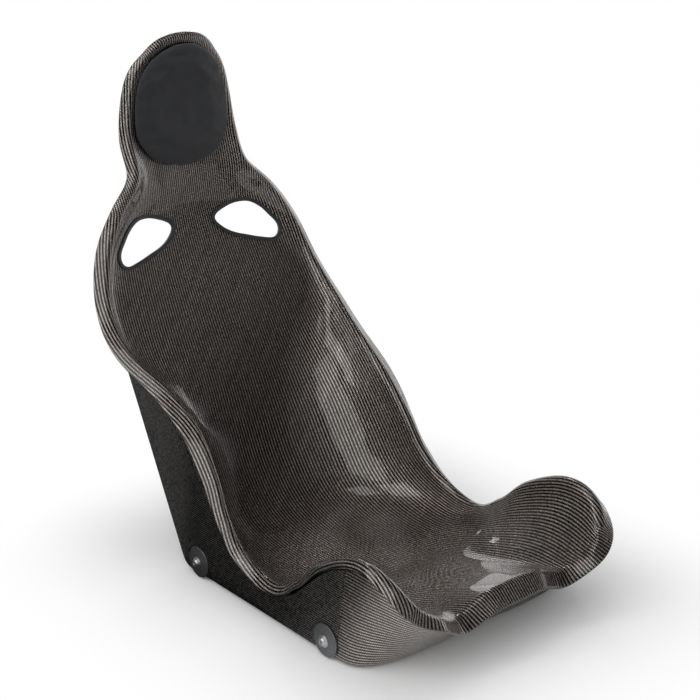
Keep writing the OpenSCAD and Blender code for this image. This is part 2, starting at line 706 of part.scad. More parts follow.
module mount_plate_left() {
    mount_plate(1);
}
module mount_plate_right() {
    mount_plate(-1);
}
module insert_front_left() {
    place(1, -1) insert();
}
module insert_front_right() {
    place(-1, -1) insert();
}
module insert_rear_left() {
    place(1, 1) insert();
}
module insert_rear_right() {
    place(-1, 1) insert();
}
module washer_front_left() {
    place(1, -1) washer();
}
module washer_front_right() {
    place(-1, -1) washer();
}
module washer_rear_left() {
    place(1, 1) washer();
}
module washer_rear_right() {
    place(-1, 1) washer();
}
module bolt_front_left() {
    place(1, -1) bolt();
}
module bolt_front_right() {
    place(-1, -1) bolt();
}
module bolt_rear_left() {
    place(1, 1) bolt();
}
module bolt_rear_right() {
    place(-1, 1) bolt();
}

seat_shell();
outer_skin();
harness_trim_left();
harness_trim_right();
headrest_cover();
headrest_foam();
headrest_board();
headrest_tape();
mount_plate_left();
mount_plate_right();
insert_front_left();
insert_front_right();
insert_rear_left();
insert_rear_right();
washer_front_left();
washer_front_right();
washer_rear_left();
washer_rear_right();
bolt_front_left();
bolt_front_right();
bolt_rear_left();
bolt_rear_right();
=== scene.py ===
# %% [markdown]
# # Racing seat
# A fixed-back bucket seat. One moulded shell of carbon twill has its rim rolled outward all
# the way round, and a second skin under it makes the box-shaped base that the side bolts go
# through. The headrest is a thin oval pad, and rubber edging lines the two harness slots.
#
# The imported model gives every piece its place. The script keeps those places and builds
# smoother, finer meshes over them, then gives each surface the finish of the real material.

# %% Load the frame
import math

import bpy
import numpy as np
from mathutils import Matrix, Vector
from mathutils.kdtree import KDTree


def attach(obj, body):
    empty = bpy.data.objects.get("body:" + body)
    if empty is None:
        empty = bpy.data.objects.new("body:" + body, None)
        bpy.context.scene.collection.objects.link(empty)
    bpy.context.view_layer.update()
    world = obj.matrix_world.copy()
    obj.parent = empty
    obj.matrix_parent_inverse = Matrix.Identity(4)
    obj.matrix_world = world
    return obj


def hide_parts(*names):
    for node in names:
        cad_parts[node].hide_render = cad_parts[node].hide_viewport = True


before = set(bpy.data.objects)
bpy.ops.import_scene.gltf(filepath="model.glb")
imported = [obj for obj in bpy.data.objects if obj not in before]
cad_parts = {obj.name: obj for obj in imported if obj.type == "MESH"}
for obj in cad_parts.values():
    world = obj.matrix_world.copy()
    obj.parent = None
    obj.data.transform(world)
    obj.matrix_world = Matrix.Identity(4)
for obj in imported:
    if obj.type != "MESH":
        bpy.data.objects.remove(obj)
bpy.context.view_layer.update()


# %% [markdown]
# ## Units and meshes
# Sizes are in millimetres, as on a drawing, and turn into metres only when a mesh is made.
# A mesh can be modelled by hand, grown by modifiers or made from arrays of points and faces.
# Arrays suit a moulded shell: every point follows a formula, so the fine mesh and the coarse
# model agree. Their UV map also counts in millimetres, so a weave can be drawn at its size.

# %% Make a mesh from arrays
MM = 0.001
CLOTH_MAP = "cloth_mm"
SHARP = math.radians(38)  # an edge that bends more than this stays crisp


def piece(name, points, quads, materials, stands_for, uv=None, part=None):
    """One visible piece: its mesh and materials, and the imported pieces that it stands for."""
    mesh = bpy.data.meshes.new(name)
    mesh.from_pydata((np.asarray(points) * MM).tolist(), [], np.asarray(quads).tolist())
    if uv is not None:
        cloth_map = mesh.uv_layers.new(name=CLOTH_MAP)
        cloth_map.uv.foreach_set("vector", np.asarray(uv, np.float32).ravel())
    for material in materials:
        mesh.materials.append(material)
    if part is not None:
        mesh.polygons.foreach_set("material_index", np.asarray(part, np.int32))
    mesh.shade_smooth()
    mesh.set_sharp_from_angle(angle=SHARP)
    obj = bpy.data.objects.new(name, mesh)
    bpy.context.scene.collection.objects.link(obj)
    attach(obj, "root")
    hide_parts(*stands_for)
    print(f"{name}: {len(mesh.vertices)} points, {len(mesh.polygons)} faces")


print(f"mesh helper: sizes in mm, {MM} m each, edges over {math.degrees(SHARP):.0f} degrees crisp")

# %% [markdown]
# ## Colours and nodes
# Colours are written as the hex values a paint chart would give. Blender works in linear
# light, so one function converts them. A material's nodes can be wired by hand in the editor.
# Here one function adds a node of any kind with its settings and links, so a material reads
# from top to bottom.
#
# A Mix node has inputs for every kind of value: 2 and 3 are its numbers, 4 and 5 its vectors,
# 6 and 7 its colours. Its outputs 0, 1 and 2 come in the same order.

# %% Colour and node helpers
def linear(hex_colour):
    """An sRGB hex colour as the four linear values that a shader takes."""
    values = [int(hex_colour[i : i + 2], 16) / 255 for i in (1, 3, 5)]
    return [v / 12.92 if v <= 0.04045 else ((v + 0.055) / 1.055) ** 2.4 for v in values] + [1.0]


def add(tree, kind, inputs=(), out=0, **settings):
    """Adds a node. Inputs come in order or by name, and each is a value or another's output."""
    node = tree.nodes.new("ShaderNode" + kind)
    for name, value in settings.items():
        setattr(node, name, value)
    for name, value in inputs.items() if isinstance(inputs, dict) else enumerate(inputs):
        if isinstance(value, bpy.types.NodeSocket):
            tree.links.new(value, node.inputs[name])
        else:
            node.inputs[name].default_value = value
    return node.outputs[out] if len(node.outputs) else node


def new_material(name):
    """A material with an empty node tree."""
    material = bpy.data.materials.new(name)
    material.use_nodes = True
    tree = material.node_tree
    tree.nodes.clear()
    return material, tree


print("mid grey #808080 in linear light:", [round(v, 3) for v in linear("#808080")[:3]])

# %% [markdown]
# ## Carbon twill
# On top of that the two sets are painted in colour, one as lit fibre and one as shaded fibre.
# The laminate is 2x2 twill carbon cloth under a clear coat. Flat bundles of fibre, the tows,
# cross at right angles, and each floats over two and then dives under two. The floats step
# sideways from row to row, which draws the diagonal ribs. Fibres reflect like brushed metal,
# with a streak across their own direction, so the two sets of tows light up in turn.
#
# The cloth could be a tiled picture, or a mesh with every tow in it. Worked out by maths nodes
# it never repeats and stays sharp close up: two axes at 45 degrees count the tows, whole
# numbers say which tow a point is in, and fractions give the place inside it.

# %% Twill as nodes
TOW = 1.7  # width of one tow, mm
FINE_TOW = TOW * 0.7  # the side panels' cloth, mm
STREAKS = 7  # streaks across a tow, drawn coarse; fibres of 0.007 mm are too fine to show
STREAK_RUN = 0.35  # changes in a streak over one tow's width along the fibres
CROWN_POWER, CROWN_DROP = 2.5, 0.9  # how a tow falls away to its two edges
DIVE_POWER, DIVE_DROP = 4.0, 0.7  # how a float falls away to its two ends
FIBRE_RELIEF = 0.12  # relief and roughness of the streaks against a tow's
STREAK_LIGHT, TOW_LIGHT = (0.5, 0.62), (0.3, 0.85)  # share that varies, share that stays
# dark resin between the tows, also used as painted shade at each tow's edges and ends
RESIN_AND_CREASE_SHADE = "#020202"


def twill(name, tow, lit_warp_colour, shaded_weft_colour, rough, coat, coat_rough, lift, spread):
    """Twill with tows lift mm high; spread says how much one float outshines the next."""
    material, tree = new_material(name)
    place = add(tree, "UVMap", uv_map=CLOTH_MAP)
    across, along, _ = add(tree, "SeparateXYZ", [place]).node.outputs
    total = add(tree, "Math", [across, along], operation="ADD")
    apart = add(tree, "Math", [across, along], operation="SUBTRACT")
    per_tow = 1 / (math.sqrt(2) * tow)
    a = add(tree, "Math", [total, per_tow], operation="MULTIPLY")
    b = add(tree, "Math", [apart, per_tow], operation="MULTIPLY")
    a_whole = add(tree, "Math", [a], operation="FLOOR")
    b_whole = add(tree, "Math", [b], operation="FLOOR")
    # both numbers counted together in fours tell which of the two tows lies on top
    both = add(tree, "Math", [a_whole, b_whole], operation="ADD")
    turn = add(tree, "Math", [both, 4.0], operation="FLOORED_MODULO")
    over = add(tree, "Math", [turn, 2.0], operation="LESS_THAN")
    # for each set of tows: the place across the tow and along its float, both from -1 to 1,
    # the tow's own shade, and the place in its fibre streaks. A float is two of the four tows
    # long, so its middle is counted as 1 in one set and as 3 in the other.
    sets = []
    pair = [(a, b, a_whole, 1.0, 0.0), (b, a, b_whole, 3.0, 0.5)]
    for mine, other, number, middle, seed in pair:
        inside = add(tree, "Math", [mine], operation="FRACT")
        cross = add(tree, "Math", [inside, 2.0, -1.0], operation="MULTIPLY_ADD")
        stepped = add(tree, "Math", [other, number], operation="ADD")
        lap = add(tree, "Math", [stepped, 4.0], operation="FLOORED_MODULO")
        run = add(tree, "Math", [lap, middle], operation="SUBTRACT")
        draw = add(tree, "Math", [number, seed], operation="ADD")
        own = add(tree, "TexWhiteNoise", {"W": draw}, noise_dimensions="1D")
        fine = add(tree, "Math", [mine, float(STREAKS)], operation="MULTIPLY")
        slow = add(tree, "Math", [other, STREAK_RUN], operation="MULTIPLY")
        sets.append((cross, run, own, add(tree, "CombineXYZ", [fine, slow])))
    cross, run, own = (add(tree, "Mix", {0: over, 2: sets[1][k], 3: sets[0][k]}) for k in range(3))
    streak_at = add(tree, "Mix", {0: over, 4: sets[1][3], 5: sets[0][3]}, 1, data_type="VECTOR")
    streaks = add(tree, "TexNoise", {"Vector": streak_at, "Scale": 1.0, "Detail": 2.0})
    # height of the tow, from 0 where it dives to 1 on its crown; it lifts the bump and paints shade
    # into the colour
    off_line = add(tree, "Math", [cross], operation="ABSOLUTE")
    edge_fall = add(tree, "Math", [off_line, CROWN_POWER], operation="POWER")
    crown = add(tree, "Math", [edge_fall, -CROWN_DROP, 1.0], operation="MULTIPLY_ADD")
    off_middle = add(tree, "Math", [run], operation="ABSOLUTE")
    end_fall = add(tree, "Math", [off_middle, DIVE_POWER], operation="POWER")
    dive = add(tree, "Math", [end_fall, -DIVE_DROP, 1.0], operation="MULTIPLY_ADD")
    height = add(tree, "Math", [crown, dive], operation="MULTIPLY")
    # brightness of the streaks, then of each tow, then of each float
    light = add(tree, "Math", [streaks, *STREAK_LIGHT], operation="MULTIPLY_ADD")
    tow_light = add(tree, "Math", [own, *TOW_LIGHT], operation="MULTIPLY_ADD")
    this_float = add(tree, "CombineXYZ", [a_whole, b_whole])
    glint = add(tree, "TexWhiteNoise", {"Vector": this_float}, noise_dimensions="2D")
    float_light = add(tree, "Math", [glint, spread, 1 - spread / 2], operation="MULTIPLY_ADD")
    light = add(tree, "Math", [light, tow_light], operation="MULTIPLY")
    light = add(tree, "Math", [light, float_light], operation="MULTIPLY")
    # colour: the two sets of tows as a painted lit and a painted shaded copy of one fibre, then
    # dark resin
    fibre = add(tree, "Mix", {0: over, 6: linear(shaded_weft_colour), 7: linear(lit_warp_colour)}, 2, data_type="RGBA")
    lit = add(tree, "VectorMath", {0: fibre, "Scale": light}, operation="SCALE")
    # painted shade: the colour sinks to resin dark as the tow's height falls towards its edges and
    # ends
    colour = add(tree, "Mix", {0: height, 6: linear(RESIN_AND_CREASE_SHADE), 7: lit}, 2, data_type="RGBA")
    least = rough - FIBRE_RELIEF / 2
    roughness = add(tree, "Math", [streaks, FIBRE_RELIEF, least], operation="MULTIPLY_ADD")
    relief = add(tree, "Math", [streaks, FIBRE_RELIEF, height], operation="MULTIPLY_ADD")
    bump = add(tree, "Bump", {"Strength": 1.0, "Distance": lift * MM, "Height": relief})
    # fibres run at 45 degrees to the map, and the streak of light lies across them
    tangent = add(tree, "Tangent", direction_type="UV_MAP", uv_map=CLOTH_MAP)
    normal = add(tree, "NewGeometry", out="Normal")
    side = add(tree, "VectorMath", [normal, tangent], operation="CROSS_PRODUCT")
    plus = add(tree, "VectorMath", [tangent, side], operation="ADD")
    minus = add(tree, "VectorMath", [tangent, side], operation="SUBTRACT")
    glow_way = add(tree, "Mix", {0: over, 4: minus, 5: plus}, 1, data_type="VECTOR")
    shader = add(tree, "BsdfPrincipled", {
        "Base Color": colour, "Metallic": 1.0, "Roughness": roughness, "Normal": bump,
        "Tangent": glow_way, "Anisotropic": 1.0,
        "Coat Weight": coat, "Coat Roughness": coat_rough, "Coat IOR": 1.5,
    })
    add(tree, "OutputMaterial", {"Surface": shader})
    return material


# %% The two twills
# Carbon under polished clear coat: sharp reflections float over ribs that flash and fade.
# the pale warp and the dark weft are one fibre, painted lit and painted shaded
twill_gloss = twill(
    "carbon_twill_clear_coat", TOW, "#f4e8e0", "#191614",
    rough=0.27, coat=1.0, coat_rough=0.02, lift=0.35, spread=0.35,
)
# Carbon with a satin skin of resin: a dark sheet with single floats that sparkle.
# the pale warp and the dark weft are one fibre, painted lit and painted shaded
twill_satin = twill(
    "carbon_twill_fine_satin", FINE_TOW, "#c2bebc", "#161514",
    rough=0.40, coat=0.3, coat_rough=0.25, lift=0.30, spread=1.8,
)
for finish in (twill_gloss, twill_satin):
    print(f"{finish.name}: {len(finish.node_tree.nodes)} nodes")

# %% [markdown]
# ## Back and cut edge of the laminate
# Only the side against the mould is smooth. The other side came off the vacuum bag: duller,
# with the texture of peel ply and no clear coat. A cut edge shows the stack of plies as fine
# lines. Both are small textures on flat faces, so a brick pattern and noise on the same map
# do, and no geometry is spent on them.

# %% Bag side and cut edge
PEEL = 2.02  # one cell of the peel ply, mm; the real 0.3 mm is too fine to show
PEEL_GRAIN = 1.11  # unevenness of the resin, mm
PLY_GRAIN = 1.11  # streaks of the cut plies, mm


def bag_side():
    """Matt resin pressed by peel ply: broad, weak highlights and a trace of weave."""
    material, tree = new_material("carbon_peel_ply_back")
    place = add(tree, "UVMap", uv_map=CLOTH_MAP)
    slanted = add(tree, "Mapping", {"Vector": place, "Rotation": (0, 0, math.radians(45))})
    weave = add(tree, "TexBrick", {
        "Vector": slanted, "Scale": 1 / PEEL, "Brick Width": 1.0, "Row Height": 0.5,
        "Mortar Size": 0.03, "Mortar": linear("#1c1c1c"),
        "Color1": linear("#4c4a48"), "Color2": linear("#3a3938"),
    })
    noise = add(tree, "TexNoise", {"Vector": place, "Scale": 1 / PEEL_GRAIN, "Detail": 4.0})
    rough = add(tree, "Math", [noise, 0.3, 0.42], operation="MULTIPLY_ADD")
    bump = add(tree, "Bump", {"Strength": 0.6, "Distance": 0.12 * MM, "Height": noise})
    shader = add(tree, "BsdfPrincipled", {
        "Base Color": weave, "Metallic": 0.3, "Roughness": rough, "Normal": bump,
    })
    add(tree, "OutputMaterial", {"Surface": shader})
    return material


def per_metre(grain):
    """Scale of a noise in metres whose grain has this size in mm."""
    return 1 / (grain * MM)


def cut_edge():
    """Trimmed plies sealed with resin: a thin grey line that catches the light."""
    material, tree = new_material("carbon_cut_edge")
    place = add(tree, "TexCoord", out="Object")
    noise = add(tree, "TexNoise", {"Vector": place, "Scale": per_metre(PLY_GRAIN), "Detail": 3.0})
    plies = add(tree, "ValToRGB", [noise])
    dark, light = plies.node.color_ramp.elements
    dark.position, dark.color = 0.35, linear("#2a2828")
    light.position, light.color = 0.70, linear("#6b6865")
    rough = add(tree, "Math", [noise, 0.25, 0.3], operation="MULTIPLY_ADD")
    shader = add(tree, "BsdfPrincipled", {
        "Base Color": plies, "Metallic": 0.2, "Roughness": rough,
        "Coat Weight": 0.6, "Coat Roughness": 0.15,
    })
    add(tree, "OutputMaterial", {"Surface": shader})
    return material


peel_ply, trimmed = bag_side(), cut_edge()
print(f"bag side: cells of {PEEL} mm; cut edge: streaks of {PLY_GRAIN} mm")

# %% [markdown]
# ## The bucket's surface
# The shell is one surface described by twenty sections from head to lip. It could be sculpted,
# or drawn with subdivision from a cage. Sections are nearer to how such a mould is designed:
# each number is a size that can be measured on the seat. A point is found from two numbers:
# u, across the seat from -1 to 1, and t, the section it lies in. Between sections a smooth
# curve joins the values, and across a section a Bezier curve makes the floor and the wall.

# %% Sections from head to lip
# crest x, y, z, spine y, z, wall angle, roll radius, flange, droop, floor and wall fullness,
# depth of the thigh troughs, how far the lip's corners stand forward
SECTIONS = np.array([
    [66, 450, 708, 438, 733, 52, 6, 4, 84, 0.50, 0.5, 0, 0],
    [84, 454, 680, 451, 704, 42, 8, 8, 65, 0.60, 0.5, 0, 0],
    [92, 455, 640, 460, 655, 30, 9, 10, 57, 0.70, 0.5, 0, 0],
    [97, 451, 585, 459, 585, 22, 9, 10, 55, 0.70, 0.5, 0, 0],
    [103, 428, 528, 449, 525, 25, 9, 9, 52, 0.70, 0.5, 0, 0],
    [147, 412, 478, 438, 465, 30, 9, 9, 42, 0.70, 0.6, 0, 0],
    [180, 397, 426, 414, 405, 45, 9, 15, 38, 0.70, 0.7, 0, 0],
    [200, 369, 360, 380, 343, 60, 9, 14, 38, 0.70, 0.8, 0, 0],
    [205, 320, 308, 345, 280, 70, 9, 14, 38, 0.68, 0.8, 0, 0],
    [189, 235, 261, 310, 218, 75, 9, 18, 38, 0.66, 0.8, 0, 0],
    [183, 170, 217, 278, 155, 80, 9, 20, 40, 0.64, 0.8, 0, 0],
    [187, 122, 161, 243, 90, 82, 9, 14, 42, 0.64, 0.8, 0, 0],
    [192, 92, 113, 195, 38, 82, 9, 10, 48, 0.66, 0.8, 0, 0],
    [196, 49, 74, 125, 14, 80, 9, 10, 50, 0.70, 0.8, 0, 0],
    [196, -22, 55, 35, 10, 78, 9, 10, 55, 0.74, 0.8, 0, 0],
    [195, -78, 84, -35, 17, 78, 9, 9, 60, 0.74, 0.8, 2, 0],
    [196, -130, 130, -105, 36, 80, 9, 5, 75, 0.72, 0.8, 6, 0],
    [197, -200, 161, -175, 58, 80, 9, 2, 90, 0.70, 0.8, 12, 1],
    [193, -256, 153, -232, 80, 75, 10, 9, 80, 0.68, 0.8, 18, 5],
    [180, -297, 120, -276, 97, 50, 12, 18, 54, 0.62, 0.7, 22, 13],
], float)
# roll radius, flange and droop along the lip, from its middle to its corner
LIP = np.array([[12, 22, 66], [12, 20, 65], [12, 15, 62], [12, 13, 58], [12, 19, 54]], float)
LAST = len(SECTIONS) - 1
LAMINATE = 3.0
TROUGH_X, TROUGH_W, TROUGH_LEAN = 100.0, 38.0, 0.2  # middle, width and forward lean
CORNER_X, CORNER_W = 140.0, 30.0
# how far the corners at the lip and at the head are drawn in, in u and t, and where that starts
LIP_PULL, LIP_FROM = (0.09, 0.36), (0.60, 17.4)
HEAD_PULL, HEAD_FROM = (0.10, 0.32), (0.45, 1.6)
# normals are taken from points this far apart, and near the top of the head a little way in
STEP_U, STEP_T = 0.002, 0.02
HEAD_T, HEAD_SAFE, HEAD_IN = 0.5, 1.5, 0.12


def along_rows(table, t):
    """A smooth curve through the rows of a table, at each of the places t."""
    ends = np.vstack([2 * table[0] - table[1], table, 2 * table[-1] - table[-2]])
    t = np.clip(t, 0, len(table) - 1 - 1e-6)
    i = np.floor(t).astype(int)
    f = (t - i)[..., None]
    a, b, c, d = (ends[i + k] for k in range(4))
    bend, lean = 2 * a - 5 * b + 4 * c - d, 3 * b - a - 3 * c + d
    return 0.5 * (2 * b + (c - a) * f + bend * f**2 + lean * f**3)


def past(value, start, end):
    """0 up to start, then a soft rise to 1 at end."""
    return np.maximum((value - start) / (end - start), 0) ** 2


def drawn(u, t):
    """Places near the four corners are drawn inwards, which rounds the corners of the face."""
    u, t = np.broadcast_arrays(np.asarray(u, float), np.asarray(t, float))
    lip = past(np.abs(u), LIP_FROM[0], 1) * past(t, LIP_FROM[1], LAST)
    head = past(np.abs(u), HEAD_FROM[0], 1) * past(t, HEAD_FROM[1], 0)
    narrowed = u * (1 - LIP_PULL[0] * lip - HEAD_PULL[0] * head)
    return narrowed, t - LIP_PULL[1] * lip + HEAD_PULL[1] * head


def sheet(u, t):
    """Points of the bucket's inner face before its corners are drawn in."""
    s = np.moveaxis(along_rows(SECTIONS, t), -1, 0)
    dy, dz = s[1] - s[3], s[2] - s[4]
    depth = np.hypot(dy, dz)
    wall = np.radians(s[5])
    x1 = s[0] - s[6] * np.sin(wall)
    h1 = depth - s[6] * (1 - np.cos(wall))
    c = np.minimum(s[10] * h1 / np.sin(wall), x1 / 2)
    a = np.abs(u)
    b = 1 - a
    x = 3 * b * b * a * s[9] * x1 + 3 * b * a * a * (x1 - c * np.cos(wall)) + a**3 * x1
    h = 3 * b * a * a * (h1 - c * np.sin(wall)) + a**3 * h1
    trough = s[11] * np.exp(-(((x - TROUGH_X) / TROUGH_W) ** 2))
    corner = s[12] * np.exp(-(((x - CORNER_X) / CORNER_W) ** 2))
    y = s[3] + dy / depth * h + TROUGH_LEAN * trough - corner
    z = s[4] + dz / depth * h - trough
    return np.stack([np.sign(u) * x, y, z], -1)


def inner(u, t):
    """Points of the bucket's inner face."""
    return sheet(*drawn(u, t))


def unit(v):
    """Vectors brought to length 1."""
    return v / np.linalg.norm(v, axis=-1, keepdims=True)


def facing(u, t):
    """The face's normal, towards the sitter."""
    u, t = drawn(u, t)
    t = np.maximum(t, HEAD_T)
    limit = 1 - HEAD_IN * np.maximum(0, HEAD_SAFE - t)
    u = np.clip(u, -limit, limit)
    across = sheet(np.minimum(u + STEP_U, 1), t) - sheet(np.maximum(u - STEP_U, -1), t)
    up = sheet(u, np.maximum(t - STEP_T, 0)) - sheet(u, np.minimum(t + STEP_T, LAST))
    return unit(np.cross(across, up))


print(f"{len(SECTIONS)} sections, {2 * SECTIONS[:, 0].max():.0f} mm wide at the crest")

# %% [markdown]
# ## Grid of the inner face
# The formula is read at the points of a fine grid. A subdivision modifier could refine a
# coarse mesh as well, but it would shrink the rim, and a grid also gives the cloth its map:
# the length run across and along. Real cloth narrows over a waist without losing ribs, so the
# lengths are eased towards an even width.

# %% Grid of the inner face
FINE = 4  # grid lines for each line of the coarse model
COLS = 24 * FINE
ROWS = LAST * 3 * FINE
grid_u, grid_t = np.meshgrid(np.linspace(-1, 1, COLS + 1), np.linspace(0, LAST, ROWS + 1))
grid_p, grid_n = inner(grid_u, grid_t), facing(grid_u, grid_t)

EASE, EASE_MOST = 0.6, (0.85, 1.25)  # how much of a section's own width the ribs give up


def running(points, axis):
    """Length run along one axis of a grid of points."""
    step = np.linalg.norm(np.diff(points, axis=axis), axis=-1)
    return np.insert(np.cumsum(step, axis=axis), 0, 0, axis=axis)


arc_u = running(grid_p, 1)
arc_u -= arc_u[:, COLS // 2][:, None]
width = arc_u[:, -1]
arc_u *= np.clip((np.median(width) / width) ** EASE, *EASE_MOST)[:, None]
arc_t = running(grid_p, 0)
arc_t = 0.5 * (arc_t + arc_t[:, COLS // 2][:, None])
grid_uv = np.stack([arc_u, arc_t], -1)


print(f"inner face: {grid_p.shape[0]} by {grid_p.shape[1]} points")

# %% [markdown]
# ## Rolled rim
# Round its edge the laminate rolls over like a pipe and ends in a narrow drooping flange. A
# bevelled curve along the edge would make a pipe, but not one that opens into the face. Here
# each place on the edge has an outward heading, and the roll is an arc in the plane of that
# heading and the surface normal, so face and rim are one sheet.

# %% Roll the rim
ROLL, FLANGE = 10, 5  # steps round the roll and across the flange
EDGE_SPAN = 3 * FINE  # places each way over which the rim is averaged
SPINE_STEP = 0.05  # in t
edge = np.array(
    [(i, COLS) for i in range(ROWS, -1, -1)]
    + [(0, j) for j in range(COLS - 1, 0, -1)]
    + [(i, 0) for i in range(ROWS + 1)]
    + [(ROWS, j) for j in range(1, COLS)]
)
EDGE_N = len(edge)
edge_p, edge_up, edge_uv, edge_u, edge_t = (
    values[tuple(edge.T)] for values in (grid_p, grid_n, grid_uv, grid_u, grid_t)
)


def around(values):
    """The mean over a few places each way along the edge, which rounds the rim's corners."""
    weights = [EDGE_SPAN + 1 - abs(k) for k in range(-EDGE_SPAN, EDGE_SPAN + 1)]
    return sum(w * np.roll(values, k - EDGE_SPAN, 0) for k, w in enumerate(weights)) / sum(weights)


edge_run = np.roll(edge_p, -EDGE_SPAN, 0) - np.roll(edge_p, EDGE_SPAN, 0)
edge_out = around(unit(np.cross(edge_run, edge_up)))
edge_out = unit(edge_out - np.sum(edge_out * edge_up, -1, keepdims=True) * edge_up)


def spine_up(t):
    """The way up across the spine, from which the flange's droop is measured."""
    a = along_rows(SECTIONS, np.maximum(t - SPINE_STEP, 0))
    b = along_rows(SECTIONS, np.minimum(np.maximum(t + SPINE_STEP, 2 * SPINE_STEP), LAST))
    return unit(np.stack([0 * t, b[:, 4] - a[:, 4], a[:, 3] - b[:, 3]], -1))


lip_rim = along_rows(LIP, np.abs(edge_u) * (len(LIP) - 1))
side_rim = along_rows(SECTIONS, edge_t)[:, 6:9]
rim = around(np.where((edge[:, 0] == ROWS)[:, None], lip_rim, side_rim))
roll_r, flange_w, droop = rim[:, :1], rim[:, 1:2], np.radians(rim[:, 2])
lean = np.sum(edge_out * spine_up(drawn(edge_u, edge_t)[1]), -1)
turn = np.arcsin(np.clip(lean, -1, 1)) + droop
rim_p, rim_n, rim_arc = [], [], []
for k in range(1, ROLL + FLANGE + 1):
    f = (turn * min(k, ROLL) / ROLL)[:, None]
    flat = max(k - ROLL, 0) / FLANGE * flange_w
    arc = edge_p + roll_r * (np.sin(f) * edge_out - (1 - np.cos(f)) * edge_up)
    rim_p.append(arc + flat * (np.cos(f) * edge_out - np.sin(f) * edge_up))
    rim_n.append(np.cos(f) * edge_up + np.sin(f) * edge_out)
    rim_arc.append((roll_r * f + flat)[:, 0])
rim_p, rim_n, rim_arc = np.array(rim_p), np.array(rim_n), np.array(rim_arc)
print(f"rim: {EDGE_N} places, {rim_arc[-1].min():.0f} to {rim_arc[-1].max():.0f} mm over the roll")

# %% [markdown]
# ## Harness slots
# The shoulder straps pass through two rounded openings. A Boolean could cut them, but it would
# leave ragged faces along the cut. Here a block of grid cells is left out and filled again with
# rings of points that run from the block's square outline to the slot's curve.

# %% Slot outlines
SLOT_MID, SLOT_HALF = (0.43, 5.58), (0.29, 0.55)  # in u and t
# the curve's radius at twelve even angles, against an ellipse of the half sizes
SLOT_RADII = np.array([1.00, 1.24, 1.20, 0.87, 0.73, 0.78, 0.92, 1.15, 1.09, 1.04, 1.05, 1.00])
BLOCK_ROWS, BLOCK_COLS = (14 * FINE, 19 * FINE), (13 * FINE, 22 * FINE)  # cells left out
RINGS = 6  # rings between the block and the slot


def block_edge(i0, i1, j0, j1):
    """The places round a block of the grid, each once, in order."""
    return np.array(
        [(i0, j) for j in range(j0, j1 + 1)]
        + [(i, j1) for i in range(i0 + 1, i1 + 1)]
        + [(i1, j) for j in range(j1 - 1, j0 - 1, -1)]
        + [(i, j0) for i in range(i1 - 1, i0, -1)]
    )


def slot_outline(block):
    """The slot's curve in u and t, one place for each grid point on the block's outline."""
    u, t = grid_u[tuple(block.T)], grid_t[tuple(block.T)]
    away_u, away_t = (np.abs(u) - SLOT_MID[0]) / SLOT_HALF[0], (t - SLOT_MID[1]) / SLOT_HALF[1]
    angle = np.arctan2(away_t, away_u)
    around_slot = (angle % (2 * np.pi)) / (2 * np.pi) * len(SLOT_RADII)
    three_turns = np.tile(SLOT_RADII, 3)[:, None]
    r = along_rows(three_turns, around_slot + len(SLOT_RADII))[:, 0]
    slot_u = SLOT_MID[0] + SLOT_HALF[0] * r * np.cos(angle)
    return np.stack([np.sign(u) * slot_u, SLOT_MID[1] + SLOT_HALF[1] * r * np.sin(angle)], -1)


blocks = {
    "left": block_edge(*BLOCK_ROWS, *BLOCK_COLS),
    "right": block_edge(*BLOCK_ROWS, COLS - BLOCK_COLS[1], COLS - BLOCK_COLS[0]),
}
outlines = {side: slot_outline(block) for side, block in blocks.items()}
for side, outline in outlines.items():
    high = inner(*outline.T)[:, 2]
    print(f"{side} slot: {len(outline)} points, from {high.min():.0f} to {high.max():.0f} mm up")

# %% [markdown]
# ## The shell's front
# The face, the rim and the rings round the slots share their border points, so the shell is
# one closed skin with no seam to hide. Separate meshes joined later would need their doubles
# merged. The cloth map of the rim turns gradually from the sides to the head and to the lip,
# as one piece of cloth is pulled over an edge.

# %% Quads of the face and the rim
index = np.arange((ROWS + 1) * (COLS + 1)).reshape(ROWS + 1, COLS + 1)
points, normals = [grid_p.reshape(-1, 3)], [grid_n.reshape(-1, 3)]
quads, quad_uv = [], []


def patch(corner_ids, corner_uv):
    """Adds quads of the inner face: four arrays of point numbers and their cloth-map places."""
    quads.append(np.stack([c.ravel() for c in corner_ids], -1))
    quad_uv.append(np.stack([c.reshape(-1, 2) for c in corner_uv], 1))


def ring_quads(rings):
    """The four corners of each quad between closed rings of points, one ring in a row."""
    beside = np.roll(rings, -1, 1)
    return [rings[:-1], rings[1:], beside[1:], beside[:-1]]


keep = np.ones((ROWS, COLS), bool)
for block in blocks.values():
    (i0, j0), (i1, j1) = block.min(0), block.max(0)
    keep[i0:i1, j0:j1] = False
corners = [np.s_[:-1, :-1], np.s_[1:, :-1], np.s_[1:, 1:], np.s_[:-1, 1:]]
patch([index[c][keep] for c in corners], [grid_uv[c][keep] for c in corners])

points.append(rim_p.reshape(-1, 3))
normals.append(rim_n.reshape(-1, 3))
count = index.size + len(rim_p) * EDGE_N
rim_ids = np.vstack([index[tuple(edge.T)], np.arange(index.size, count).reshape(-1, EDGE_N)])
reach = np.vstack([np.zeros(EDGE_N), rim_arc])[..., None]
heading = np.zeros((EDGE_N, 2))
heading[:ROWS], heading[ROWS : ROWS + COLS] = (1, 0), (0, -1)
heading[ROWS + COLS : 2 * ROWS + COLS], heading[2 * ROWS + COLS :] = (-1, 0), (0, 1)
patch(ring_quads(rim_ids), ring_quads(edge_uv[None] + reach * unit(around(heading))[None]))
print(f"face and rim: {count} points")

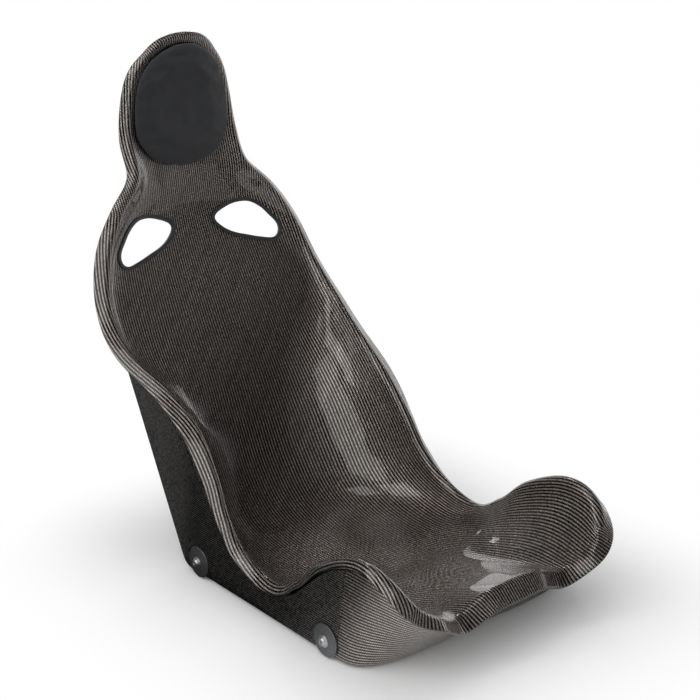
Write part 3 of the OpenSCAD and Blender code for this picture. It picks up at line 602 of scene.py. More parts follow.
# %% Rings round the slots
def cloth_at(u, t):
    """The cloth map at any place on the face."""
    x = np.clip((u + 1) / 2 * COLS, 0, COLS - 1e-6)
    y = np.clip(t / LAST * ROWS, 0, ROWS - 1e-6)
    i, j = np.floor(y).astype(int), np.floor(x).astype(int)
    fy, fx = (y - i)[..., None], (x - j)[..., None]
    top = grid_uv[i, j] * (1 - fx) + grid_uv[i, j + 1] * fx
    low = grid_uv[i + 1, j] * (1 - fx) + grid_uv[i + 1, j + 1] * fx
    return top * (1 - fy) + low * fy


slot_ids = {}
for side, block in blocks.items():
    start = np.stack([grid_u[tuple(block.T)], grid_t[tuple(block.T)]], -1)
    rows, places = [index[tuple(block.T)]], [start]
    for k in range(1, RINGS + 1):
        q = k / RINGS
        place = start + (outlines[side] - start) * (q * (2 - q))
        points.append(inner(*place.T))
        normals.append(facing(*place.T))
        rows.append(count + np.arange(len(block)))
        places.append(place)
        count += len(block)
    patch(ring_quads(np.array(rows)), ring_quads(np.array([cloth_at(*p.T) for p in places])))
    slot_ids[side] = rows[-1]
front_p, front_n = np.vstack(points), np.vstack(normals)
front_q, front_uv = np.vstack(quads), np.vstack(quad_uv)
print(f"front of the shell: {len(front_p)} points, {len(front_q)} quads")

# %% [markdown]
# ## The shell's back and its edges
# A Solidify modifier would add the back, but not in its own finish with an edge of trimmed
# plies. The back is the front moved by the laminate's thickness along the normals. Between the
# two, each open border gets a narrow strip that is slightly rounded, as a trimmed edge is.

# %% Back face and cut edges
EDGE_ROUND = [(0.35, 0.25), (0.6, 0.9), (0.6, 2.1), (0.35, 2.75)]  # how far out and down, mm
behind = len(front_p)
shell_p = [front_p, front_p - LAMINATE * front_n]
shell_q, shell_uv = [front_q, front_q[:, ::-1] + behind], [front_uv, front_uv[:, ::-1]]
shell_part = [0, 1]
count = 2 * behind
rim_way = np.cos(turn)[:, None] * edge_out - np.sin(turn)[:, None] * edge_up
for ids, out in [(rim_ids[-1], rim_way), *((ids, None) for ids in slot_ids.values())]:
    p, n = front_p[ids], front_n[ids]
    if out is None:
        out = unit(np.cross(np.roll(p, -FINE, 0) - np.roll(p, FINE, 0), n))
        out *= np.sign(np.sum(out * (p.mean(0) - p), -1).mean())
    rows = [ids]
    for away, down in EDGE_ROUND:
        shell_p.append(p + away * out - down * n)
        rows.append(count + np.arange(len(ids)))
        count += len(ids)
    strip = np.stack(ring_quads(np.array(rows + [ids + behind])), -1).reshape(-1, 4)
    shell_q.append(strip)
    shell_uv.append(np.zeros((len(strip), 4, 2)))
    shell_part.append(2)
piece(
    "bucket_shell", np.vstack(shell_p), np.vstack(shell_q), [twill_gloss, peel_ply, trimmed],
    ["seat_shell"], np.vstack(shell_uv),
    np.concatenate([np.full(len(q), m) for q, m in zip(shell_q, shell_part)]),
)

# %% [markdown]
# ## Outer skin
# The base is a second laminate. It stands on a narrow return that turns in under the seat,
# bends up through a soft corner and rises as a flat wall to the underside of the rim. It could
# be a bevelled box, but its top edge follows the rim's curve. So it is a row of stations round
# the seat, each with a foot and a top. Its twill runs round the seat with the path, and only
# the front wall and its corners are polished.

# %% Outline of the outer skin
# free edge x, y, z, heading of the inward return, its radius against FOOT_R, top x, y, z
SKIN = np.array([
    [205, 318, 272, 0, 0.25, 205, 313, 290],
    [205, 296, 228, 0, 0.45, 205, 292, 279],
    [205, 268, 172, 0, 0.55, 205, 266, 262],
    [205, 244, 124, 0, 0.60, 205, 240, 247],
    [205, 220, 76, 0, 0.65, 205, 215, 231],
    [205, 201, 38, 0, 0.70, 205, 190, 213],
    [205, 190, 14, 0, 0.80, 205, 170, 194],
    [205, 181, 3, 0, 0.85, 205, 155, 177],
    [205, 168, 0, 0, 0.90, 205, 140, 159],
    [205, 145, 0, 0, 1.00, 205, 122, 132],
    [205, 110, 0, 0, 1.00, 205, 100, 104],
    [205, 75, 0, 0, 1.00, 205, 72, 77],
    [205, 40, 0, 0, 1.00, 205, 42, 56],
    [205, 5, 0, 0, 1.00, 205, 9, 44],
    [205, -30, 0, 0, 1.00, 205, -25, 42],
    [205, -65, 0, 0, 1.00, 205, -68, 57],
    [205, -100, 0, 0, 1.00, 205, -110, 94],
    [205, -130, 0, 0, 1.00, 205, -150, 127],
    [205, -155, 0, 8, 1.00, 205, -182, 141],
    [204, -178, 0, 30, 1.00, 204, -208, 148],
    [197, -194, 0, 55, 1.00, 202, -232, 149],
    [182, -206, 0, 72, 1.00, 196, -256, 138],
    [160, -214, 0, 82, 1.00, 184, -276, 117],
    [135, -218, 0, 88, 1.00, 164, -288, 96],
    [108, -219, 0, 90, 1.00, 138, -288, 82],
    [80, -220, 0, 90, 1.00, 108, -278, 66],
    [52, -220, 0, 90, 1.00, 74, -270, 62],
    [26, -220, 0, 90, 1.00, 36, -268, 72],
    [0, -220, 0, 90, 1.00, 0, -268, 76],
], float)
FOOT_R, FOOT_W = 14.0, 12.0  # corner radius and width of the return, mm
LEDGE, LEDGE_END, LEDGE_LEAST = 8.0, 10, 0.08  # mm, the station where it has faded, share left
LEDGE_ROWS = ((0.1, 0.06), (0.5, 0.12), (1.0, 0.12))  # how far in and up, against the ledge
SKIN_PER, RETURN_STEPS, WALL_STEPS = 6, 12, 20  # steps to a station, in its foot, up its wall
skin_half = (len(SKIN) - 1) * SKIN_PER


def skin_points():
    """Points of the skin: for every station, from the return's inner edge up to the rim."""
    c = np.arange(2 * skin_half + 1)
    station = np.where(c <= skin_half, c, 2 * skin_half - c) / SKIN_PER
    mirror = np.where(c <= skin_half, -1.0, 1.0)
    s = along_rows(SKIN, station)
    side = np.stack([mirror, 1 + 0 * mirror, 1 + 0 * mirror], -1)
    base, top = s[:, :3] * side, s[:, 5:8] * side
    angle = np.radians(s[:, 3])
    inward = np.stack([-mirror * np.cos(angle), np.sin(angle), 0 * angle], -1)
    r = s[:, 4:5] * FOOT_R
    foot, wall = base + inward * r, base + unit(top - base) * r
    rows = [base + inward * (r + FOOT_W)]
    for q in np.linspace(0, 1, RETURN_STEPS + 1):
        rows.append((1 - q) ** 2 * foot + 2 * q * (1 - q) * base + q * q * wall)
    rows += [wall + (top - wall) * k / WALL_STEPS for k in range(1, WALL_STEPS + 1)]
    # behind the seat's waist the top edge turns in under the rim, as a narrow bonding ledge
    ledge = LEDGE * np.clip(LEDGE_END - station, LEDGE_LEAST, 1)[:, None]
    for out, up in LEDGE_ROWS:
        rows.append(top + ledge * (out * inward + up * np.array([0, 0, 1.0])))
    return np.stack(rows, 1)


skin_p = skin_points()
skin_n = unit(np.cross(np.gradient(skin_p, axis=0), np.gradient(skin_p, axis=1)))
skin_across = running(skin_p, 1)
skin_along = running(skin_p, 0)[:, RETURN_STEPS + 4]  # measured low on the wall
skin_uv = np.stack([skin_across, np.broadcast_to(skin_along[:, None], skin_across.shape)], -1)
print(f"outer skin: {skin_along[-1]:.0f} mm round, {skin_across.max():.0f} mm from foot to top")

# %% Build the outer skin
SIDE_FLAT, FRONT_FROM = 204.9, -120  # x and y where the skin has begun to turn to the front
skin_ids = np.arange(skin_p[..., 0].size).reshape(skin_p.shape[:2])
face_q = np.stack([skin_ids[c].ravel() for c in corners], -1)
flat_uv = skin_uv.reshape(-1, 2)
loop = block_edge(0, skin_ids.shape[0] - 1, 0, skin_ids.shape[1] - 1)
loop_ids = skin_ids[tuple(loop.T)]
loop_next = np.roll(loop_ids, -1)
edge_q = np.stack([loop_ids, loop_next, loop_next + skin_ids.size, loop_ids + skin_ids.size], -1)
face_mid = skin_p.reshape(-1, 3)[face_q].mean(1)
front_wall = (face_mid[:, 1] < FRONT_FROM) & (np.abs(face_mid[:, 0]) < SIDE_FLAT)
piece(
    "outer_skin_panel",
    np.vstack([skin_p.reshape(-1, 3), (skin_p - LAMINATE * skin_n).reshape(-1, 3)]),
    np.vstack([face_q, face_q[:, ::-1] + skin_ids.size, edge_q]),
    [twill_satin, peel_ply, trimmed, twill_gloss], ["outer_skin"],
    np.vstack([flat_uv[face_q], flat_uv[face_q[:, ::-1]], np.zeros((len(edge_q), 4, 2))]),
    np.concatenate([np.where(front_wall, 3, 0), np.full(len(face_q), 1), np.full(len(edge_q), 2)]),
)

# %% [markdown]
# ## Rubber edging
# The harness would chafe on a cut laminate, so each slot has a moulded U of soft black rubber
# pushed over its edge. Its surface is nearly smooth, so two noises are enough: a fine one for
# the mould's grain and a cloudy one for the slight bloom that rubber gets.

# %% Rubber material
RUBBER_GRAIN, RUBBER_CLOUD = 0.714, 22.2  # mm


def moulded_rubber():
    """Moulded black rubber: soft grey highlights, a little uneven, that never turn sharp."""
    material, tree = new_material("moulded_black_rubber")
    place = add(tree, "TexCoord", out="Object")
    fine = {"Vector": place, "Scale": per_metre(RUBBER_GRAIN), "Detail": 3.0}
    wide = {"Vector": place, "Scale": per_metre(RUBBER_CLOUD), "Detail": 2.0}
    grain, cloud = add(tree, "TexNoise", fine), add(tree, "TexNoise", wide)
    tints = {0: cloud, 6: linear("#27282a"), 7: linear("#3c3d40")}
    shader = add(tree, "BsdfPrincipled", {
        "Base Color": add(tree, "Mix", tints, 2, data_type="RGBA"),
        "Roughness": add(tree, "Math", [grain, 0.15, 0.27], operation="MULTIPLY_ADD"),
        "Normal": add(tree, "Bump", {"Strength": 0.3, "Distance": 0.05 * MM, "Height": grain}),
        "IOR": 1.52,
    })
    add(tree, "OutputMaterial", {"Surface": shader})
    return material


rubber = moulded_rubber()
print(f"{rubber.name}: grain of {RUBBER_GRAIN} mm")

# %% [markdown]
# ## Section and sweep of the edging
# The edging could be a curve with a bevel profile. A sweep made from the slot's own outline
# keeps it seated on the laminate all the way round: its section is drawn in the plane of the
# edge, outwards and along the shell's normal, with rounded corners.

# %% Sweep the edging round each slot
TRIM_W, TRIM_T, EDGE_GAP = 3.8, 1.3, 0.7  # leg, wall and clearance to the laminate, mm
TRIM_ROUND = 1.1
CORNER_POINTS, CORNER_SHARE = 5, 0.48  # points of a rounded corner, most of a side it takes


def rounded(corners, radius):
    """An open polyline with each corner between its ends turned into a short curve."""
    corners = np.asarray(corners, float)
    out = [corners[0]]
    for before, p, after in zip(corners, corners[1:], corners[2:]):
        back, on = before - p, after - p
        a = p + back * min(radius / np.linalg.norm(back), CORNER_SHARE)
        b = p + on * min(radius / np.linalg.norm(on), CORNER_SHARE)
        for q in np.linspace(0, 1, CORNER_POINTS):
            out.append((1 - q) ** 2 * a + 2 * q * (1 - q) * p + q * q * b)
    return np.array([*out, corners[-1]])


over_edge = EDGE_GAP + TRIM_T
under = -LAMINATE - EDGE_GAP
trim_outside = [
    [TRIM_W, EDGE_GAP], [TRIM_W, over_edge], [-over_edge, over_edge],
    [-over_edge, under - TRIM_T], [TRIM_W, under - TRIM_T], [TRIM_W, under],
]
trim_inside = [[-EDGE_GAP, under], [-EDGE_GAP, EDGE_GAP]]
trim = np.vstack([rounded(trim_outside, TRIM_ROUND), trim_inside])
for side, outline in outlines.items():
    p, n = inner(*outline.T), facing(*outline.T)
    e = unit(np.cross(n, np.roll(p, -FINE, 0) - np.roll(p, FINE, 0)))
    sweep = p[:, None] + trim[None, :, :1] * e[:, None] + trim[None, :, 1:] * n[:, None]
    ids = np.arange(sweep[..., 0].size).reshape(sweep.shape[:2])
    faces = np.stack(ring_quads(np.vstack([ids, ids[:1]])), -1).reshape(-1, 4)
    stands_for = [f"harness_trim_{side}"]
    piece(f"slot_edging_{side}", sweep.reshape(-1, 3), faces, [rubber], stands_for)

# %% [markdown]
# ## Cloth of the headrest
# The cover is a thin knit with a brushed face, so it has no weave to draw, only a short nap
# that scatters light. Hair strands could stand for the nap, at a high cost. A fine noise and
# the shader's sheen, which lights the fibre tips at grazing angles, give the same soft dark.

# %% Cloth material
KNIT, NAP = 0.91, 16.7  # loops of the knit, drawn twice as coarse, and brushed patches, mm


def brushed_cloth():
    """Brushed knit: a soft, even near-black with no highlight and a faint light edge."""
    material, tree = new_material("brushed_knit_cloth")
    place = add(tree, "TexCoord", out="Object")
    loops = {"Vector": place, "Scale": per_metre(KNIT), "Detail": 3.0, "Roughness": 0.7}
    patches = {"Vector": place, "Scale": per_metre(NAP), "Detail": 3.0}
    knit, nap = add(tree, "TexNoise", loops), add(tree, "TexNoise", patches)
    nap_share = add(tree, "Math", [nap, 0.3], operation="MULTIPLY")
    both = add(tree, "Math", [knit, 0.7, nap_share], operation="MULTIPLY_ADD")
    shades = add(tree, "ValToRGB", [both])
    dark, light = shades.node.color_ramp.elements
    dark.position, dark.color = 0.3, linear("#1d1e20")
    light.position, light.color = 0.72, linear("#36373a")
    shader = add(tree, "BsdfPrincipled", {
        "Base Color": shades, "Roughness": 0.92, "Sheen Weight": 0.25, "Sheen Roughness": 0.5,
        "Normal": add(tree, "Bump", {"Strength": 0.7, "Distance": 0.15 * MM, "Height": knit}),
    })
    add(tree, "OutputMaterial", {"Surface": shader})
    return material


cover_cloth = brushed_cloth()
print(f"{cover_cloth.name}: loops of {KNIT} mm")

# %% [markdown]
# ## Headrest pad
# A thin oval of foam in a stretched cloth cover. It starts as a low dome on the head of the
# shell: an oval in u and t, lifted along the shell's normal, so its underside follows the
# curve it is fixed to. It is made a little small and low, since it swells afterwards.

# %% Start shape of the pad
PAD_MID, PAD_HALF = 2.0, (0.955, 1.86)  # middle in t, half sizes in u and t
PAD_LOW = 0.8  # gap over the shell, mm
PAD_STEPS, PAD_TAPER = 96, 0.12  # points round the oval; how far its lower end draws in
PAD_SHRINK, PAD_SINK = 0.985, 2.0  # share of the outline kept, height left off in mm
HUB = 0.012  # share of the oval where the middle is closed by one face
# share of the oval's radius and height over the shell, from the middle out and back under
PAD_SECTION = [
    [0.0, 16], [0.35, 16], [0.60, 15.4], [0.78, 14], [0.90, 11.5], [0.97, 8], [1.00, 4.5],
    [0.995, 2.3], [0.97, 0.9], [0.88, PAD_LOW], [0.0, PAD_LOW],
]


def pad_point(share, angle, height):
    # the cover's outline draws in towards the neck, so its lower end is rounder than the top
    lower = np.maximum(np.sin(angle), 0)
    u = PAD_HALF[0] * share * np.cos(angle) * (1 - PAD_TAPER * lower**2)
    t = PAD_MID + PAD_HALF[1] * share * np.sin(angle)
    return inner(u, t) + height[..., None] * facing(u, t)


def pad_mesh():
    section = np.array(PAD_SECTION)
    fine = along_rows(section, np.linspace(0, len(section) - 1, 5 * (len(section) - 1) + 1))
    share = np.clip(fine[:, :1], HUB, 1) * PAD_SHRINK
    top = section[0, 1] - PAD_LOW
    height = PAD_LOW + np.maximum(fine[:, 1:] - PAD_LOW, 0) * (top - PAD_SINK) / top
    angle = np.linspace(0, 2 * np.pi, PAD_STEPS, endpoint=False)
    p = pad_point(share, angle[None], np.broadcast_to(height, (len(fine), PAD_STEPS)))
    ids = np.arange(p[..., 0].size).reshape(p.shape[:2])
    faces = np.stack(ring_quads(ids), -1).reshape(-1, 4).tolist()
    return p.reshape(-1, 3), faces + [ids[0].tolist(), ids[-1][::-1].tolist()]


start_p, start_q = pad_mesh()
pad_data = bpy.data.meshes.new("headrest_pad")
pad_data.from_pydata((start_p * MM).tolist(), [], start_q)
pad = bpy.data.objects.new("headrest_pad", pad_data)
bpy.context.scene.collection.objects.link(pad)
print(f"pad before it swells: {len(start_p)} points")

# %% [markdown]
# ## Swelling the pad
# Foam fills its cover and rounds it. Sculpting could do that by eye. Cloth simulation with a
# little air pressure does it by the material's own rules, while the rim stays pinned where the
# cover is pulled tight round the board. The mesh is first made even, as cloth needs, and each
# point's move is kept to a few millimetres. To pin by height, the shell is searched for the
# nearest point under each point of the pad.

# %% Height over the shell
NEAR_T, NEAR_COUNT = 4.2, (161, 121)  # the head down to the neck, rows and columns of points
near_rows, near_cols = np.linspace(0, NEAR_T, NEAR_COUNT[0]), np.linspace(-1, 1, NEAR_COUNT[1])
near_u, near_t = np.meshgrid(near_cols, near_rows)
near_p, near_n = inner(near_u, near_t).reshape(-1, 3), facing(near_u, near_t).reshape(-1, 3)
near = KDTree(len(near_p))
for k, p in enumerate(near_p):
    near.insert(p, k)
near.balance()


def over_shell(points_mm):
    """Height of each point over the shell, with the shell's normal there."""
    ids = np.array([near.find(p)[1] for p in points_mm])
    return np.sum((points_mm - near_p[ids]) * near_n[ids], -1), near_n[ids]


def coords(mesh):
    """The mesh's points in mm."""
    co = np.empty(len(mesh.vertices) * 3, np.float32)
    mesh.vertices.foreach_get("co", co)
    return co.reshape(-1, 3).astype(float) / MM


def applied(obj):
    """The object's mesh as its modifiers leave it."""
    depsgraph = bpy.context.evaluated_depsgraph_get()
    depsgraph.update()
    return bpy.data.meshes.new_from_object(obj.evaluated_get(depsgraph))


print(f"shell under the pad: {len(near_p)} points to search")

# %% Swell it with cloth simulation
VOXEL, PRESSURE, FRAMES, CAP = 4.0, 4.0, 20, 5.0  # mm, force, frames, mm
PIN_LOW, PIN_HIGH = 3.0, 7.0  # held fully below the first height and not above the second, mm
CLEAR, FOAM_SHARE = 0.6, 0.8  # least gap to the shell in mm; how firm the padding is


def swell(obj):
    """Makes the mesh even, blows it up as cloth and keeps each point's move under CAP."""
    remesh = obj.modifiers.new("even", "REMESH")
    remesh.mode, remesh.voxel_size = "VOXEL", VOXEL * MM
    obj.data = applied(obj)
    obj.modifiers.clear()
    before = coords(obj.data)
    height, _ = over_shell(before)
    hold = np.clip((PIN_HIGH - height) / (PIN_HIGH - PIN_LOW), 0, 1)
    group = obj.vertex_groups.new(name="held")
    for k, w in enumerate(hold):
        group.add([k], float(w), "REPLACE")
    cloth = obj.modifiers.new("cloth", "CLOTH")
    cloth.settings.use_pressure = True
    cloth.settings.uniform_pressure_force = PRESSURE
    cloth.settings.effector_weights.gravity = 0
    cloth.settings.vertex_group_mass = "held"
    cloth.point_cache.frame_start, cloth.point_cache.frame_end = 1, FRAMES
    scene = bpy.context.scene
    for f in range(1, FRAMES + 1):
        scene.frame_set(f)
    swollen = applied(obj)
    obj.modifiers.clear()
    scene.frame_set(1)
    moved = coords(swollen) - before
    length = np.linalg.norm(moved, axis=1, keepdims=True)
    after = before + moved * np.minimum(1, CAP / np.maximum(length, 1e-9))
    obj.data = swollen
    swollen.vertices.foreach_set("co", (after * MM).astype(np.float32).ravel())
    print(f"pad swelled by up to {length.max():.1f} mm, kept to {CAP} mm")


swell(pad)
smooth = pad.modifiers.new("round", "SUBSURF")
smooth.levels = smooth.render_levels = 1
pad.data = applied(pad)
pad.modifiers.clear()
pad.data.shade_smooth()
pad.data.materials.clear()
pad.data.materials.append(cover_cloth)
seated = coords(pad.data)
height, normal = over_shell(seated)
seated += np.maximum(CLEAR - height, 0)[:, None] * normal
pad.data.vertices.foreach_set("co", (seated * MM).astype(np.float32).ravel())
pad.data.update()
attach(pad, "root")
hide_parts("headrest_cover", "headrest_foam")
print(f"pad: {len(pad.data.vertices)} points, up to {height.max():.1f} mm over the shell")

# %% [markdown]
# ## Metal of the bolts and washers
# Four button-head bolts of stainless steel hold the seat's sides, each on a wide washer of grey
# anodised aluminium. Both are turned on a lathe, which leaves fine rings. Rings drawn in the
# mesh would be far too small, so a noise stretched round the axis bends the light instead, and
# the metals keep the shader's own IOR.

# %% Metal materials
STEEL_RINGS, WASHER_RINGS = 0.25, 0.30  # feed of the lathe, mm, coarser than the real 0.1 mm
RING_STRETCH = 0.02  # a ring changes this slowly on its way round, against across
WEAR = 6.25  # mm


def turned_metal(name, colour, dark, rough, rings, coat=0.0):
    """The map holds the way round and the way along the outline, both in mm."""
    material, tree = new_material(name)
    place = add(tree, "UVMap", uv_map=CLOTH_MAP)
    stretched = add(tree, "Mapping", {"Vector": place, "Scale": (RING_STRETCH, 1 / rings, 1.0)})
    ring = add(tree, "TexNoise", {"Vector": stretched, "Scale": 1.0, "Detail": 3.0})
    place = add(tree, "TexCoord", out="Object")
    wear = add(tree, "TexNoise", {"Vector": place, "Scale": per_metre(WEAR), "Detail": 4.0})
    tints = {0: wear, 6: linear(dark), 7: linear(colour)}
    shader = add(tree, "BsdfPrincipled", {
        "Base Color": add(tree, "Mix", tints, 2, data_type="RGBA"), "Metallic": 1.0,
        "Roughness": add(tree, "Math", [ring, 0.25, rough - 0.12], operation="MULTIPLY_ADD"),
        "Normal": add(tree, "Bump", {"Strength": 0.35, "Distance": 0.04 * MM, "Height": ring}),
        "Coat Weight": coat,
    })
    add(tree, "OutputMaterial", {"Surface": shader})
    return material


# Stainless steel, turned: bright, with highlights that break up on the rings.
stainless = turned_metal("stainless_steel_turned", "#efeff0", "#c9cacc", 0.36, STEEL_RINGS)
# Aluminium, turned and grey anodised: a satin mid grey, with a faint gloss from the oxide.
grey_anodised = turned_metal(
    "grey_anodised_aluminium", "#9a9b9d", "#77787a", 0.52, WASHER_RINGS, coat=0.25,
)
print(f"rings of {STEEL_RINGS} mm on the bolts, {WASHER_RINGS} mm on the washers")

# %% [markdown]
# ## Bolts and washers
# Each bolt has a rolled flange and a hexagon socket and sits on a domed washer that spreads the
# load over the laminate. A Screw modifier could spin an outline, but the socket isn't round.
# So the outline is a list of radii and heights, and a radius may change with the angle: the
# hexagon is one that does.

# %% Spin an outline round a bolt's axis
FACE_X, BOLT_Y, BOLT_Z = 205.0, 145.0, 24.5
AROUND = 96  # points round the axis
MAP_R = 10  # the map's way round is measured at this radius, mm


def turned(name, outline, side, end, material, stands_for):
    """Spins (radius, height) pairs round the bolt's axis at one end of one side."""
    angle = np.linspace(0, 2 * np.pi, AROUND, endpoint=False)
    radius = np.array([r(angle) if callable(r) else np.full(AROUND, float(r)) for r, _ in outline])
    height = np.array([h for _, h in outline], float)[:, None] + 0 * radius
    local = np.stack([radius * np.cos(angle), radius * np.sin(angle), height], -1)
    world_x, world_y = side * (FACE_X + height), end * BOLT_Y + local[..., 1]
    world = np.stack([world_x, world_y, BOLT_Z - side * local[..., 0]], -1)
    faces = np.stack(ring_quads(np.arange(radius.size).reshape(radius.shape)), -1).reshape(-1, 4)
    way = np.stack([np.broadcast_to(angle * MAP_R, radius.shape), running(local, 0)], -1)
    uv = way.reshape(-1, 2)[faces]
    piece(name, world.reshape(-1, 3), faces, [material], [stands_for], uv)


print(f"bolts at y {BOLT_Y:.0f} and {-BOLT_Y:.0f}, z {BOLT_Z} mm on both sides")

# %% Outlines of washer and bolt
FIT, HOLE_GAP, HEAD_GAP = 0.3, 0.3, 0.1  # clearances to the skin, in the hole, under the head
WASHER_R, WASHER_T, WASHER_DOME, WASHER_ROUND, HEAD_ROUND = 23.5, 2.0, 1.5, 0.9, 0.8
FLANGE_R, FLANGE_T, HEAD_H, SOCKET, SOCKET_EDGE = 9.0, 1.2, 4.5, 5.0, 0.5
SHANK_R, SHANK_LEN, TIP, AXIS = 4.0, 20.0, 0.8, 0.02  # chamfer of the tip; radius at the axis


def hexagon(flats):
    """Radius of a hexagon as a function of the angle."""
    return lambda angle: flats / 2 / np.cos((angle + np.pi / 6) % (np.pi / 3) - np.pi / 6)


bore = SHANK_R + HOLE_GAP
washer_top = FIT + WASHER_T + WASHER_DOME
washer_outline = [(bore, FIT), *rounded([
    [bore, FIT], [WASHER_R, FIT], [WASHER_R, FIT + WASHER_T],
    [WASHER_R * 0.7, FIT + WASHER_T + WASHER_DOME * 0.55],
    [FLANGE_R + 2.5, washer_top], [bore, washer_top],
], WASHER_ROUND)[1:], (bore, FIT)]
head_at = washer_top + HEAD_GAP
tip_at, crown_at, head_top = head_at - SHANK_LEN, head_at + FLANGE_T, head_at + FLANGE_T + HEAD_H
socket_at = crown_at + HEAD_H * 0.25
bolt_outline = [
    (AXIS, tip_at), (SHANK_R - TIP, tip_at), (SHANK_R, tip_at + TIP), (SHANK_R, head_at),
    *rounded([
        [SHANK_R, head_at], [FLANGE_R, head_at], [FLANGE_R, crown_at],
        [FLANGE_R * 0.76, crown_at + 0.5], [FLANGE_R * 0.70, crown_at + HEAD_H * 0.55],
        [FLANGE_R * 0.48, head_top], [SOCKET / 2 * 1.25, head_top],
    ], HEAD_ROUND)[1:],
    (hexagon(SOCKET + SOCKET_EDGE), head_top), (hexagon(SOCKET), head_top - 0.3),
    (hexagon(SOCKET), socket_at), (AXIS, socket_at - 0.6),
]
for side, side_name in ((1, "left"), (-1, "right")):
    for end, end_name in ((-1, "front"), (1, "rear")):
        where = f"{end_name}_{side_name}"
        washer, bolt = f"washer_{where}", f"bolt_{where}"
        turned(f"mount_{washer}", washer_outline, side, end, grey_anodised, washer)
        turned(f"mount_{bolt}", bolt_outline, side, end, stainless, bolt)

# %% [markdown]
# ## Pieces behind the skin
# The inserts, the plates, the headrest's board and its tape keep the frame's own meshes. They
# are plain shapes that little of shows, so only their materials are made here. Each is one
# noise at the size of its real grain, which tints, roughens and lifts the surface together.

# %% Materials for the plain pieces
def plain_finish(name, light, dark, grain, rough, metallic=0.0):
    material, tree = new_material(name)
    place = add(tree, "TexCoord", out="Object")
    noise = add(tree, "TexNoise", {"Vector": place, "Scale": per_metre(grain), "Detail": 4.0})
    tints = {0: noise, 6: linear(dark), 7: linear(light)}
    shader = add(tree, "BsdfPrincipled", {
        "Base Color": add(tree, "Mix", tints, 2, data_type="RGBA"), "Metallic": metallic,
        "Roughness": add(tree, "Math", [noise, 0.3, rough - 0.15], operation="MULTIPLY_ADD"),
        "Normal": add(tree, "Bump", {"Strength": 0.5, "Distance": 0.08 * MM, "Height": noise}),
    })
    add(tree, "OutputMaterial", {"Surface": shader})
    return material


# Rolled plate: pale grey with soft cloudy reflections. Zinc plate: brighter and bluer.
aluminium = plain_finish("rolled_aluminium_plate", "#c3c5c8", "#9da0a3", 3.33, 0.42, 1.0)
zinc = plain_finish("zinc_plated_steel", "#c9cbce", "#9fa2a8", 2.0, 0.34, 1.0)
# Moulded board: dark, with a fine dull grain. Hook tape: black that swallows light.
board = plain_finish("moulded_abs_board", "#3d3d3e", "#2d2d2e", 1.43, 0.55)
hook = plain_finish("hook_tape", "#1c1c1d", "#0c0c0d", 0.67, 0.9)
sides = ("left", "right")
plain = {f"mount_plate_{side}": aluminium for side in sides}
plain |= {f"insert_{end}_{side}": zinc for end in ("front", "rear") for side in sides}
plain |= {"headrest_board": board, "headrest_tape": hook}
for name, material in plain.items():
    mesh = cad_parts[name].data
    mesh.materials.clear()
    mesh.materials.append(material)
print(f"{len(plain)} plain pieces keep their meshes")

# %% [markdown]
# ## Studio floor
# Gloss is only as good as what it mirrors. In a studio for products, pale paper lies behind
# the seat and a sheet of it under the lip, while the floor and the room in front are dark, so
# the clear coat keeps its depth. Two lit scenes could be blended afterwards. Here the floor
# asks what kind of ray has met it: to the camera it is white paper that keeps the seat's
# shadow and fades to clean white further out, and in reflections it is dark where no paper lies.

# %% Floor
FLOOR, FLOOR_DROP = 9000.0, 0.5  # half size and gap under the seat, mm
FOOTPRINT = (0.18, 0.24, 0.0)  # half the size of the base, m
CLEAR_FROM, CLEAR_AT = 0.02, 0.30  # distances from the base, m
BACKDROP, PAPER_FROM, PAPER_AT = (0.80, 0.60, 0.0), 0.1, 0.9  # its direction, then metres
SHEET, SHEET_FULL, SHEET_END = (-0.22, -0.62, 0.0), 0.36, 0.62  # its middle and reach, m
STUDIO, PAPER_GRAIN = "#1c1c1c", 2.5  # the dark floor; fibres of the paper, mm


